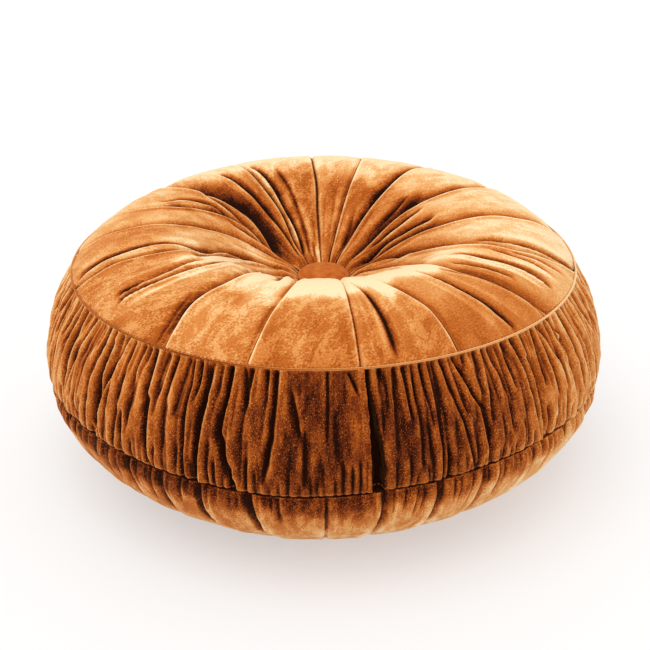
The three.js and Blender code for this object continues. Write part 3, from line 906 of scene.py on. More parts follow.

# %% [markdown]
# ## The five strips
# The band is pieced from five strips, with a join between each two. One join in front gapes
# and shows the dark behind it, so it is shaped as a slot. The lower seam is sewn by hand and
# wanders up and down by a few millimetres.
#
# How far the pile is laid over changes slowly round the band, and painted sheen rides on the
# same numbers: the front, which faces the eye, is painted dark, and both sides, seen at a
# grazing angle, are painted lighter. Painted light also makes the band lighter near the rim.
# Rows of azimuths and soft patches say where.

# %% Seam, nap and fineness of the band
LOWER_LIFTS = [  # azimuth, half width, how far the hand-sewn lower seam stands up
    (263, 15, -4),
    (313, 18, 3),
    (222, 10, 2),
    (95, 30, -3),
    (20, 20, 2),
]
BAND_NAPS_AND_PAINTED_SHEEN = [  # azimuth, how far the pile is laid over, with painted sheen: darker in front, lighter at the sides
    (20, 0.4),
    (90, 0.4),
    (160, 0.42),
    (200, 0.4),
    (225, 0.37),
    (250, 0.25),
    (278, 0.17),
    (300, 0.23),
    (322, 0.4),
    (345, 0.44),
]
PAINTED_LIGHT_NEAR_RIM = 0.14  # painted light: the band is lighter near the rim
BAND_ROWS = 104
COLUMNS_PER_TURN = 1500
CLOTH_PER_DEGREE = 1.4 * 2 * math.pi * WIDEST_RADIUS / 360
SLOT_DEPTH = 16.0
BAND_CRUSH = 0.15
BAND_PAINTED_SHADING = 0.6  # the gathers are soft, so their painted highlights and shade are weaker than the top's
BAND_SHADE = 0.27  # painted shade for each millimetre of a gather's depth
BAND_PATCHES = [  # azimuth, half width, share, half height, more or less nap
    (275.7, 1.1, 0.45, 0.3, 0.34),
    (258, 4, 0.5, 0.25, 0.1),
    (270, 5, 0.6, 0.2, 0.06),
    (240, 8, 0.35, 0.25, 0.12),
    (262.8, 0.7, 0.4, 0.4, 0.1),
    (228, 9, 0.2, 0.25, 0.12),
    (303, 4, 0.3, 0.3, 0.08),
    (320, 9, 0.65, 0.3, 0.12),
    (293, 8, 0.2, 0.25, 0.06),
    (207, 5, 0.8, 0.2, 0.1),
]
TUCK = 18.0
SLIT_WIDTH, GAP_WIDENING = 1.2, 8.5
GAP_SHARES = (0.15, 0.8)  # the stretch of the open join in which it widens
SLOT_MIDDLE = 0.4  # where the two strips meet in the open join, as a part of its width
SLOT_EDGE = (0.3, 0.8)  # degrees from the join to the slot's left edge, at the top and the bottom
print("points round the band:", COLUMNS_PER_TURN, "from seam to seam:", BAND_ROWS)


# %% Allowance, joins and the open slot
def tucked_in(points, row):
    """Adds one row of points behind the first or last one, as the seam allowance."""
    inner = points[row].copy()
    inner[:, :2] *= 1 - TUCK / WIDEST_RADIUS
    inner = inner[None]
    return np.concatenate([inner, points] if row == 0 else [points, inner])


def slot_width(share):
    """Width in millimetres of the gap at the open join: a slit above, a gap below."""
    return SLIT_WIDTH + GAP_WIDENING * ease(share, *GAP_SHARES)


def join_azimuth(k, share):
    """Where the k-th join of the band lies."""
    top, bottom, depth = BAND_JOINS[k % len(BAND_JOINS)]
    middle = top + (bottom - top) * share
    if k % len(BAND_JOINS) == OPEN_JOIN:
        middle = middle + np.degrees(SLOT_MIDDLE * slot_width(share) / WIDEST_RADIUS)
    return middle


def slot_distance(azimuth, share):
    """Millimetres past the left edge of the open join."""
    top, bottom, _ = BAND_JOINS[OPEN_JOIN]
    edge = top - SLOT_EDGE[0] + (bottom - SLOT_EDGE[1] - top) * share
    return np.radians(turn_from(edge, azimuth)) * BAND.radius(share)


print("the open join is", round(float(slot_width(1.0)), 1), "mm wide at the lower seam")


# %% How deep the cloth of a strip lies
BAND_WOBBLES = [(0.15, 110, 4, 7), (0.06, 300, 9, 8)]  # degrees, cells round and down, seed
BAND_LUMPS = [(0.8, 150, 6, 9), (0.3, 420, 14, 10)]  # millimetres, cells round and down, seed
JOIN_WIDTH = 3
DEEPEST_GATHER = 15
SLOT_LIP = (1.5, 4, 5)  # height, distance from the slot's edge and half width of the cloth there
PUFF = 0.8  # how far the cloth stands out just above the lower seam
HELD = 0.35  # how much of a gather's depth is left where the thread holds it
SEAM_SINK = 1.6


def slot_sink(azimuth, share):
    """How far the open join is drawn in, and how far the lip on its left is raised."""
    distance = slot_distance(azimuth, share)
    width = slot_width(share)
    inside = ease(distance, -0.8, 0.8) * (1 - ease(distance, width, width + 3))
    height, apart, half_width = SLOT_LIP
    return SLOT_DEPTH * inside, height * trough(distance + apart, 1, half_width, 2)


def strip_sink(azimuth, share):
    """How far the band is drawn in at each point."""
    wobble = roughened(0, azimuth, share, BAND_WOBBLES)
    joins = [(top, 0, bottom, 1, depth, JOIN_WIDTH) for top, bottom, depth in BAND_JOINS if depth]
    sink = crease_depth(BAND, azimuth + wobble, share, band_creases + joins, gathered=True)
    slot, lip = slot_sink(azimuth, share)
    sink = np.minimum(roughened(sink, azimuth, share, BAND_LUMPS), DEEPEST_GATHER) + slot - lip
    puff = -PUFF * ease(share, 0.8, 0.93) * (1 - ease(share, 0.95, 1))
    at_seam = ease(share, 0.97, 1)
    edges = ease(share, 0, 0.04) * (1 - at_seam)
    return (sink + puff) * (HELD + (1 - HELD) * edges) + SEAM_SINK * at_seam


middle_of_slot = np.array([[280.0]])
print("sink in the open join in mm:", strip_sink(middle_of_slot, np.array([[0.8]])).round(1))


# %% Make the strips
BAND_BENDS = (3.0, 5.0, 9.0)  # reaches in millimetres over which a bend gets painted highlight or shade
# Painted shade: in deep gathers, and dark inside the open join where the band gapes.
SHADED_GATHER = 14
SLOT_SHADE = 8
PAINTED_LIGHT_ENDS = 0.45  # the share where the painted light near the rim ends


def strip_painted_shading(points, plain, azimuth, share, sink):
    """Painted highlights and shade of a strip, with painted shade darkest in the open join."""
    past_edge = slot_distance(azimuth, share)
    past_gap = past_edge - slot_width(share)
    in_slot = ease(past_edge, -0.6, 0.6) * (1 - ease(past_gap, 1, 5))
    shade = BAND_SHADE * np.clip(sink, 0, SHADED_GATHER)
    return BAND_PAINTED_SHADING * painted_fold_shading(points, plain, BAND_BENDS) - shade - SLOT_SHADE * in_slot


def make_strip(k):
    """One strip of the band, from the k-th join to the next."""
    share = np.linspace(0, 1, BAND_ROWS)[:, None]
    left = join_azimuth(k, share)
    width = turn_from(left, join_azimuth(k + 1, share)) % 360
    columns = int(width.mean() / 360 * COLUMNS_PER_TURN)
    azimuth = left + width * np.linspace(0, 1, columns)[None, :]
    lift = share * lift_at(LOWER_LIFTS, azimuth)
    sink = strip_sink(azimuth, share)
    points = BAND.place(azimuth, share, sink, lift)
    plain = BAND.place(azimuth, share, 0, lift)
    # Painted highlights and shade, carried as the opening number.
    opening = strip_painted_shading(points, plain, azimuth, share, sink)
    # Painted sheen round the band and painted light near the rim, in the nap number.
    nap = nap_round(BAND_NAPS_AND_PAINTED_SHEEN, azimuth) + PAINTED_LIGHT_NEAR_RIM * (1 - ease(share, 0, PAINTED_LIGHT_ENDS))
    nap = nap + patched(BAND_PATCHES, azimuth, share)
    strip = new_piece(f"band_strip_{k + 1}", tucked_in(points, -1))
    from_edge = np.minimum(share, 1 - share) * BAND.length + 0 * azimuth
    allowance = ((0, 1), (0, 0))
    give_values(strip, allowance, nap=nap, opening=opening, crush=BAND_CRUSH + 0 * nap,
                seam_mm=from_edge)
    down = share * BAND.length + 0 * azimuth
    give_cloth(strip, azimuth * CLOTH_PER_DEGREE, down, allowance)
    return strip, points


strips, strip_grids = zip(*(make_strip(k) for k in range(len(BAND_JOINS))))
print(len(strips), "strips,", sum(len(s.data.polygons) for s in strips), "faces")

# %% [markdown]
# ## The underside
# Under the lower seam six panels are pleated and curve in to a flat foot, which is what the
# pouf stands on. The photo shows only their outer edge, so the front pleats are listed one by
# one and the rest come from dice. All of them are turned into crease rows like the band's.

# %% Creases and mesh of the underside
BASE_PLEATS = [  # azimuth at the seam and at the foot, depth, half width
    (200, 200, 5, 5),
    (211, 211, 5, 5),
    (222, 222, 4, 5),
    (232, 232, 5, 5),
    (240, 240, 4, 5),
    (247.5, 249, 5.5, 5),
    (257.5, 259.5, 6.5, 4),
    (270, 270, 2.5, 1.6),
    (280, 279, 6.5, 5),
    (290.3, 290, 6, 5),
    (299.8, 299.8, 4, 5),
    (311.7, 311.7, 7, 5),
    (322, 322, 5, 5),
    (333, 333, 5, 5),
    (344, 344, 5, 5),
]
PLEAT_FADES = 0.9  # the share where a pleat ends, near the foot
PLEATS_BEHIND = 20
BACK_FROM, BACK_WIDTH = 344, 216  # degrees of the underside that the photo's side doesn't show
BACK_DEPTHS, BACK_HALF_WIDTH = (3.5, 6.5), 5
BASE_GATHERS = (1.9, True, (0.06, 0.25), 2.6, 1.6)  # like a row of EDGE_GATHERS
BASE_ROWS = 64
BASE_SEAMS = [30, 90, 150, 210, 270, 330]  # azimuths
BASE_COLUMNS = 150
BASE_NAPS = [(20, 0.4), (160, 0.4), (210, 0.32), (240, 0.34), (270, 0.5), (300, 0.5), (330, 0.66)]
BOTTOM_NAP = 0.5
BASE_CRUSH = 0.2
BOTTOM_RADIUS = 170.0
print(len(BASE_PLEATS), "pleats of the underside by hand")


# %% How deep the cloth of the underside lies
BASE_WOBBLES = [(0.4, 100, 5, 17)]  # degrees, cells round and down, seed
BASE_LUMPS = [(0.7, 120, 7, 18)]  # millimetres, cells round and down, seed
BASE_HELD = 0.5  # how much of a pleat's depth is left at the seam
BASE_SEAM_SINK = 1.8


def base_creases():
    """The pleats of the underside: listed in front, from seeded dice behind."""
    dice = np.random.default_rng(71)
    pitch = BACK_WIDTH / (PLEATS_BEHIND + 1)
    pleats = list(BASE_PLEATS)
    for k in range(1, PLEATS_BEHIND + 1):
        azimuth = BACK_FROM + pitch * (k + dice.uniform(-0.15, 0.15))
        foot = azimuth + dice.uniform(-1, 1)
        pleats.append((azimuth, foot, dice.uniform(*BACK_DEPTHS), BACK_HALF_WIDTH))
    rows = [(seam, 0, foot, PLEAT_FADES, *size) for seam, foot, *size in pleats]
    return rows + gathers(dice, *BASE_GATHERS)


def base_sink(azimuth, share, creases):
    """How far the underside is drawn in at each point."""
    wobble = roughened(0, azimuth, share, BASE_WOBBLES)
    sink = crease_depth(BASE, azimuth + wobble, share, creases, gathered=True)
    sink = roughened(sink, azimuth, share, BASE_LUMPS) * (1 - ease(share, 0.78, 1))
    held = BASE_HELD + (1 - BASE_HELD) * ease(share, 0, 0.06)
    return sink * held + BASE_SEAM_SINK * (1 - ease(share, 0, 0.03))


creases = base_creases()
print(len(creases), "pleats and gathers on the underside")


# %% Make the panels of the underside
FOOT_ROWS = (0.33, 0.67, 1)  # rows of points from the foot's edge to the bottom panel
PAINTED_SHADE_UNDER_SEAM = 0.22  # painted shade in the ragged dark band under the lower seam, where the band overhangs
SHADE_ENDS, SHADE_FADE = 0.09, 0.09  # shares
SHADE_RAGGED = [(0.08, 130, 4, 23)]  # share, cells round and down, seed


def make_base_panel(k, creases):
    """One panel of the underside, from a seam to the next and in to the bottom panel."""
    left = BASE_SEAMS[k]
    width = turn_from(left, BASE_SEAMS[(k + 1) % len(BASE_SEAMS)]) % 360
    share = np.linspace(0, 1, BASE_ROWS)[:, None]
    azimuth = left + width * np.linspace(0, 1, BASE_COLUMNS)[None, :] + 0 * share
    lift = np.maximum(0, 1 - 2 * share) * lift_at(LOWER_LIFTS, azimuth)
    points = BASE.place(azimuth, share, base_sink(azimuth, share, creases), lift)
    # Painted highlights on the pleats' ridges and painted shade in their hollows.
    opening = painted_fold_shading(points, BASE.place(azimuth, share, 0, lift))
    foot = [points[-1:] * (1 + (BOTTOM_RADIUS / FOOT_RADIUS - 1) * t) for t in FOOT_ROWS]
    points = np.concatenate([points, *foot])
    panel = new_piece(f"base_panel_{k + 1}", tucked_in(points, 0))
    ragged = roughened(SHADE_ENDS, azimuth, share, SHADE_RAGGED)
    nap = nap_round(BASE_NAPS, azimuth)
    nap = nap - PAINTED_SHADE_UNDER_SEAM * (1 - ease(share, ragged, ragged + SHADE_FADE))
    down = share * BASE.length + 0 * azimuth
    allowance = ((1, len(foot)), (0, 0))
    give_values(panel, allowance, nap=nap, opening=opening, crush=BASE_CRUSH + 0 * nap,
                seam_mm=down)
    give_cloth(panel, azimuth * CLOTH_PER_DEGREE, down, allowance)
    return panel


base_panels = [make_base_panel(k, creases) for k in range(len(BASE_SEAMS))]
print(len(base_panels), "base panels,", sum(len(p.data.polygons) for p in base_panels), "faces")


# %% [markdown]
# ## The bottom panel
# A flat round piece closes the cover where it stands. It could be a filled circle, but rings
# of quads shade more evenly than one large face or a fan of thin triangles.

# %% Rings of points, and the round bottom panel
BOTTOM_COLUMNS = 180
BOTTOM_RINGS = [  # radius, height
    (BOTTOM_RADIUS, 3),
    (BOTTOM_RADIUS, 1),
    (BOTTOM_RADIUS - 1.5, 0),
    (120, 0),
    (60, 0),
    (1, 0),
]


def ringed(radius, height, columns):
    """Points of rings round the axis, and the turn of each column."""
    turn = np.radians(np.linspace(0, 360, columns, endpoint=False)[None, :])
    return np.stack([radius * np.cos(turn), radius * np.sin(turn), height + 0 * turn], -1)


def make_bottom_panel():
    """A flat round panel, sewn in where the pouf stands."""
    radius, height = np.array(BOTTOM_RINGS).T[..., None]
    points = ringed(radius, height, BOTTOM_COLUMNS)
    panel = new_piece("bottom_panel", points, round_and_round=True)
    flat = np.zeros(points.shape[:2])
    give_values(panel, nap=flat + BOTTOM_NAP, opening=flat, crush=flat + BASE_CRUSH,
                seam_mm=BOTTOM_RADIUS - radius + flat)
    give_cloth(panel, points[..., 0], points[..., 1])
    return panel


bottom_panel = make_bottom_panel()
cover = [*gores, *strips, *base_panels, bottom_panel]
print(len(cover), "pieces of velvet,", sum(len(p.data.polygons) for p in cover), "faces")


# %% [markdown]
# ## The welt in the rim seam
# A thin cord covered in the same velvet is sewn into the rim seam. A curve with a round bevel
# would give a perfect tube. A grid of rings lets the cord's thickness vary a little from
# stitch to stitch, as a hand-covered cord does.

# %% The welt cord
RIM_SLOPE = math.radians(52)
WELT_RADIUS = 1.1
WELT_PROUD = 0.1
WELT_SIDES = 12
WELT_STEPS = 1080
WELT_UNEVEN, WELT_BLUR = 0.1, 9  # part of the radius, steps over which it changes
# A small painted highlight over the whole cord, as its opening number.
WELT_PAINTED_HIGHLIGHT = 0.2
WELT_CLOTH = (1700, 8)  # length and width of its strip of velvet
FAR_FROM_SEAM = 50.0
WELT_NAPS = [  # azimuth, how far the pile is laid over
    (180, 0.62),
    (200, 0.3),
    (245, 0.3),
    (262, 0.55),
    (285, 0.72),
    (340, 0.78),
    (20, 0.6),
]


def welt_grid(dice):
    """Points of the cord in the rim seam: round the cord by row, round the rim by column."""
    azimuth = np.linspace(0, 360, WELT_STEPS, endpoint=False)[None, :]
    turn = np.linspace(0, 2 * np.pi, WELT_SIDES + 1)[:, None]
    blur = np.ones(WELT_BLUR) / WELT_BLUR
    soft = np.convolve(dice.standard_normal(WELT_STEPS), blur, "same")
    radius = WELT_RADIUS * (1 + WELT_UNEVEN * soft[None, :])
    across = -radius * np.cos(turn)
    out = WELT_PROUD + radius * np.sin(turn)
    sideways = across * math.cos(RIM_SLOPE) + out * math.sin(RIM_SLOPE)
    upward = out * math.cos(RIM_SLOPE) - across * math.sin(RIM_SLOPE)
    r = RIM_RADIUS + swell(azimuth) + sideways
    round_pouf = np.radians(azimuth)
    return np.stack([r * np.cos(round_pouf), r * np.sin(round_pouf), RIM_HEIGHT + upward], -1)


points = welt_grid(np.random.default_rng(5))
welt = new_piece("rim_welt_cord", points, round_and_round=True)
plain = np.zeros(points.shape[:2])
welt_nap = nap_round(WELT_NAPS, np.linspace(0, 360, WELT_STEPS, endpoint=False)) + plain
give_values(welt, nap=welt_nap, opening=plain + WELT_PAINTED_HIGHLIGHT, crush=plain,
            seam_mm=plain + FAR_FROM_SEAM)
along_cord = np.linspace(0, WELT_CLOTH[0], WELT_STEPS)
give_cloth(welt, *np.meshgrid(along_cord, np.linspace(0, WELT_CLOTH[1], WELT_SIDES + 1)))
print("welt:", round(2 * WELT_RADIUS, 1), "mm thick,", len(welt.data.polygons), "faces")


# %% [markdown]
# ## Stitches
# A lock stitch shows on the face of the cloth as a row of short dashes with small gaps. Each
# dash is a thin bent sausage of thread, sunk a little into the pile. A whole seam is one mesh:
# the dashes are placed along the seam by the edges of the panels that it joins.

# %% Rows of stitches
THREAD_RADIUS = 0.35
STITCH_LENGTH = 2.6
STITCH_PITCH = 4.0
THREAD_SIDES = 6
DASH_RINGS = np.array([  # place along a dash, thickness, as parts of its length and radius
    (-0.5, 0.02), (-0.44, 0.7), (-0.2, 1), (0.2, 1), (0.44, 0.7), (0.5, 0.02),
])


def dashes_along(line, outwards):
    """Points and faces of the dashes along a line of points in millimetres."""
    steps = np.linalg.norm(np.diff(line, axis=0), axis=1)
    travelled = np.r_[0, np.cumsum(steps)]
    count = int(travelled[-1] / STITCH_PITCH)
    middles = (np.arange(count) + 0.5) * travelled[-1] / count
    at = middles[:, None] + DASH_RINGS[None, :, 0] * STITCH_LENGTH
    centre = np.stack([np.interp(at, travelled, line[:, i]) for i in range(3)], -1)
    out = np.stack([np.interp(at, travelled, outwards[:, i]) for i in range(3)], -1)
    forward = centre[:, -1:] - centre[:, :1]
    forward = forward / np.linalg.norm(forward, axis=2)[..., None]
    side = np.cross(forward, out)
    turn = np.linspace(0, 2 * np.pi, THREAD_SIDES, endpoint=False)
    ring = THREAD_RADIUS * DASH_RINGS[None, :, 1, None, None]
    around = side[:, :, None] * np.cos(turn)[:, None] + out[:, :, None] * np.sin(turn)[:, None]
    points = (centre[:, :, None] + ring * around).reshape(-1, 3)
    index = np.arange(len(points)).reshape(count, len(DASH_RINGS), THREAD_SIDES)
    after = np.roll(index, -1, axis=2)
    corners = [index[:, :-1], after[:, :-1], after[:, 1:], index[:, 1:]]
    return points, np.stack([corner.ravel() for corner in corners], -1)


def stitched_row(name, lines):
    """One piece with the stitches of all these lines: (points, outward directions) each."""
    all_points, all_faces, start = [], [], 0
    for line, outwards in lines:
        points, faces = dashes_along(line, outwards)
        all_points.append(points)
        all_faces.append(faces + start)
        start += len(points)
    return make_piece(name, np.concatenate(all_points), np.concatenate(all_faces))


def edge_of(grid, row=slice(None), column=slice(None)):
    """One row or column of a grid of points, with the way out of the cloth there."""
    return grid[row, column], normals(grid)[row, column]


SEAM_START = 12  # rows from the button, where the stitches of a gore's seam begin
down_gores = [edge_of(grid[SEAM_START:], column=1) for grid in gore_grids]
round_rim = [edge_of(grid, row=-2) for grid in gore_grids]
round_lower_seam = [edge_of(grid, row=-2) for grid in strip_grids]
thread_rows = [
    stitched_row("gore_stitches", down_gores),
    stitched_row("rim_stitches", round_rim),
    stitched_row("lower_seam_stitches", round_lower_seam),
]
print([(row.name, len(row.data.polygons)) for row in thread_rows])


# %% [markdown]
# ## The button
# The button is a domed metal shell with the same velvet stretched over it. The stretched
# cloth is smooth, and its edge is puckered where it is folded in behind.

# %% The covered button
BUTTON_COLUMNS = 120
PUCKERS, PUCKER_DEPTH, PUCKER_REACH = 24, 0.25, 7
HIGHLIGHT_FROM, HIGHLIGHT_TO = 3, 0.5  # millimetres in from the edge, where a painted highlight runs round the rim
BUTTON_CORNERS = [  # radius, millimetres below the top
    (0.5, 0),
    (BUTTON_RADIUS * 0.35, 0.3),
    (BUTTON_RADIUS * 0.7, 1.6),
    (BUTTON_RADIUS - 3.6, 3.8),
    (BUTTON_RADIUS - 1, 6.4),
    (BUTTON_RADIUS, 9),
    (BUTTON_RADIUS - 0.6, 11),
    (BUTTON_RADIUS - 3, 13),
]


def button_grid():
    """Points of the domed cover: from the middle out by row, round the button by column."""
    line = smooth_line([(radius, BUTTON_TOP - drop) for radius, drop in BUTTON_CORNERS], steps=8)
    radius, height = line[:, :1], line[:, 1:]
    turn = np.radians(np.linspace(0, 360, BUTTON_COLUMNS, endpoint=False))[None, :]
    puckered = PUCKER_DEPTH * np.cos(PUCKERS * turn)
    puckered = puckered * ease(radius, BUTTON_RADIUS - PUCKER_REACH, BUTTON_RADIUS)
    return ringed(radius + puckered, height, BUTTON_COLUMNS)


points = button_grid()
button = new_piece("button_cover", points, round_and_round=True)
reach = np.hypot(points[..., 0], points[..., 1])
# The edge number is a painted highlight round the button's rim.
give_values(button, edge=ease(reach, BUTTON_RADIUS - HIGHLIGHT_FROM, BUTTON_RADIUS - HIGHLIGHT_TO))
print("button:", round(2 * BUTTON_RADIUS, 1), "mm across,", len(button.data.polygons), "faces")

# %% [markdown]
# ## Colours and nodes
# Colours are written as the hex numbers that a paint program shows. A shader works with
# linear light, so one function turns them over. Another adds a node, sets what it is told and
# links the rest, which keeps a material's recipe short enough to read from top to bottom.

# %% Node helper and colours
def linear(hex_colour):
    """An sRGB hex colour as the linear numbers that a shader works with."""
    srgb = [int(hex_colour[i:i + 2], 16) / 255 for i in (1, 3, 5)]
    return [c / 12.92 if c <= 0.04045 else ((c + 0.055) / 1.055) ** 2.4 for c in srgb] + [1.0]


def add_node(tree, kind, settings=None, links=None):
    """Adds a shader node, sets its properties, and sets or links its inputs."""
    node = tree.nodes.new("ShaderNode" + kind)
    for name, value in (settings or {}).items():
        setattr(node, name, value)
    for name, value in (links or {}).items():
        if isinstance(value, bpy.types.Node):
            value = value.outputs[0]
        if isinstance(value, bpy.types.NodeSocket):
            tree.links.new(value, node.inputs[name])
        else:
            node.inputs[name].default_value = value
    return node


def set_stops(ramp, colours):
    """Gives a colour ramp its stops: (position, colour) each."""
    stops = ramp.color_ramp.elements
    while len(stops) < len(colours):
        stops.new(0.5)
    for stop, (position, colour) in zip(stops, colours):
        stop.position = position
        stop.color = linear(colour)


def new_material(name):
    """An empty node material."""
    material = bpy.data.materials.new(name)
    material.use_nodes = True
    material.node_tree.nodes.clear()
    return material, material.node_tree


print("middle velvet, linear:", [round(c, 3) for c in linear("#c77636")])

# %% [markdown]
# ## Crushed velvet
# Velvet is woven with a short cut pile, here a shiny polyester. Crushing presses that pile
# flat in patches while it is damp. Pile that lies over shows its sides and looks pale gold.
# Pile that stands up shows its tips and drinks the light, so it looks dark copper. That gives
# the eye bright, soft-edged clouds in one and the same dye, and painted shade makes the folds
# almost black.
#
# The Sheen of the Principled shader gives the glow at a grazing angle, but it can't make the
# patches. So one number is built up from the nap with its painted light, the painted highlights
# and shade of the folds, the crushed clouds, the grain and painted glints, and a ramp of seven
# tones of the dye turns it into a colour. Outside the painted shade, the angle to the eye adds a
# painted sheen to that number, so this part of the tone changes with the view. The real pile is
# about 0.1 mm thick and too fine to show, so its grain is drawn 1.4 to 2 mm coarse.

# %% Crushed velvet
VELVET_COLOURS = [  # how far the pile is laid over, colour
    (0.0, "#220a03"),
    (0.2, "#692a0d"),
    (0.42, "#a55116"),
    (0.6, "#c77636"),
    (0.78, "#dc9f5e"),
    (0.92, "#e9be89"),
    (1.0, "#f4d6aa"),
]


# The nap number carries painted light along with the pile's tone, and the opening number carries
# painted highlights and shade.
CARRIED = {"nap": "Fac", "opening": "Fac", "seam_mm": "Fac", "crush": "Fac", "cloth_mm": "Vector"}
CLOUD_SIZE, GRAIN_SIZE, TIP_SIZE = 18, 2.0, 1.4  # millimetres of cloth
CLOUD_STRETCH = (1.0, 0.6, 1.0)  # clouds are longer down the cloth than across it
PAINTED_SHEEN_OFFSET = -0.16  # a step down of the whole tone, which balances the painted sheen added below


def velvet_patterns(tree, cloth):
    """The grain of the pile, the crushed clouds, their crisp edges and painted glints of single
    pile tips.
    """
    pulled = add_node(tree, "VectorMath", {"operation": "MULTIPLY"},
                      {0: cloth, 1: CLOUD_STRETCH})
    pile = add_node(tree, "TexNoise", links={
        "Vector": cloth, "Scale": 1 / GRAIN_SIZE, "Detail": 2.0, "Roughness": 0.7})
    grain = add_node(tree, "MapRange", links={
        "Value": pile, "From Min": 0.3, "From Max": 0.7, "To Min": -0.5, "To Max": 0.5})
    clouds = add_node(tree, "TexNoise", links={
        "Vector": pulled, "Scale": 1 / CLOUD_SIZE, "Detail": 8.0, "Roughness": 0.74,
        "Distortion": 0.3})
    dithered = add_node(tree, "Math", {"operation": "MULTIPLY_ADD"},
                        {0: grain, 1: 0.12, 2: clouds})
    crisp = add_node(tree, "MapRange", {"interpolation_type": "SMOOTHSTEP"}, {
        "Value": dithered, "From Min": 0.44, "From Max": 0.58, "To Min": -0.5, "To Max": 0.5})
    tips = add_node(tree, "TexNoise", links={
        "Vector": cloth, "Scale": 1 / TIP_SIZE, "Detail": 1.0, "Roughness": 0.5})
    painted_glints = add_node(tree, "MapRange", links={
        "Value": tips, "From Min": 0.6, "From Max": 0.72, "To Min": 0.0, "To Max": 1.0})
    return grain, clouds, crisp, painted_glints


def seam_marks(tree, seam, grain):
    """Dark where the thread pierces the cloth, and a ragged edge of brushed pile beside it."""
    frayed = add_node(tree, "Math", {"operation": "MULTIPLY_ADD"},
                      {0: grain, 1: 1.6, 2: seam})
    stitched = add_node(tree, "MapRange", {"interpolation_type": "SMOOTHSTEP"}, {
        "Value": seam, "From Min": 0.3, "From Max": 1.4, "To Min": 1.0, "To Max": 0.0})
    brushed = add_node(tree, "MapRange", {"interpolation_type": "SMOOTHSTEP"}, {
        "Value": frayed, "From Min": 1.5, "From Max": 3.2, "To Min": 1.0, "To Max": 0.0})
    return brushed, stitched


print("a cloud of crushed pile is about", CLOUD_SIZE, "mm across")


# %% The material of the cover
def crushed_velvet_material():
    """The velvet of the whole cover, with one number that picks its tone."""
    material, tree = new_material("crushed_velvet")
    nap, opening, seam, crush, cloth = [
        add_node(tree, "Attribute", {"attribute_name": name}).outputs[output]
        for name, output in CARRIED.items()]
    grain, clouds, crisp, painted_glints = velvet_patterns(tree, cloth)
    brushed, stitched = seam_marks(tree, seam, grain)
    upright = add_node(tree, "MapRange", links={
        "Value": nap, "From Min": 0.3, "From Max": 0.6, "To Min": 1.0, "To Max": 0.0})
    # Painted sheen: the Layer Weight's angle to the eye lightens the colour wherever the pile lies
    # outside the painted shade.
    facing = add_node(tree, "LayerWeight", links={"Blend": 0.5}).outputs["Facing"]
    outside_painted_shade = add_node(tree, "MapRange", links={
        "Value": opening, "From Min": -6.0, "From Max": 0.0, "To Min": 0.0, "To Max": 1.0})
    crushed = add_node(tree, "Math", {"operation": "MULTIPLY"}, {0: crisp, 1: crush})
    # Painted glints, only on pile that stands upright.
    painted_sparkle = add_node(tree, "Math", {"operation": "MULTIPLY"}, {0: painted_glints, 1: upright})
    painted_sheen = add_node(tree, "Math", {"operation": "MULTIPLY"}, {0: facing, 1: outside_painted_shade})
    steps = [  # what changes the tone, and how much
        (crushed, 1.0),
        (grain, 0.15),
        (painted_sparkle, 0.4),
        (opening, 0.06),
        (painted_sheen, 0.5),
        (brushed, 0.12),
        (stitched, -0.5),
    ]
    value = add_node(tree, "Math", {"operation": "ADD"}, {0: nap, 1: PAINTED_SHEEN_OFFSET})
    for source, amount in steps:
        value = add_node(tree, "Math", {"operation": "MULTIPLY_ADD"},
                         {0: source, 1: amount, 2: value})
    ramp = add_node(tree, "ValToRGB", links={"Fac": value})
    set_stops(ramp, VELVET_COLOURS)
    fine = add_node(tree, "Bump", links={
        "Strength": 0.4, "Distance": 0.0012, "Height": grain})
    bump = add_node(tree, "Bump", links={
        "Strength": 0.4, "Distance": 0.003, "Height": clouds, "Normal": fine})
    shader = add_node(tree, "BsdfPrincipled", links={
        "Base Color": ramp, "Normal": bump, "Roughness": 0.65, "Specular IOR Level": 0.03,
        "Sheen Weight": 0.14, "Sheen Roughness": 0.4, "Sheen Tint": linear("#ffb274")})
    add_node(tree, "OutputMaterial", links={"Surface": shader})
    return material


crushed_velvet = crushed_velvet_material()
print("crushed velvet:", len(crushed_velvet.node_tree.nodes), "nodes")

# %% [markdown]
# ## Pressed velvet
# The button's velvet is stretched over a metal shell and pressed in a die. Its pile lies flat,
# so it is rust orange all over and has no folds. Hands have rubbed it in soft patches of about
# 9 mm, and a painted highlight makes its edge paler. The grain would be 0.1 mm and is
# drawn at 1.4 mm, to show as a faint tooth.

# %% Pressed velvet of the button
GRAINS_PER_METRE, RUBS_PER_METRE = 700.0, 110.0
# How much the painted highlight lightens the button's edge.
PAINTED_RIM_HIGHLIGHT = 0.4
PRESSED_COLOURS = [(0.0, "#a44a0c"), (1.0, "#d07c34")]


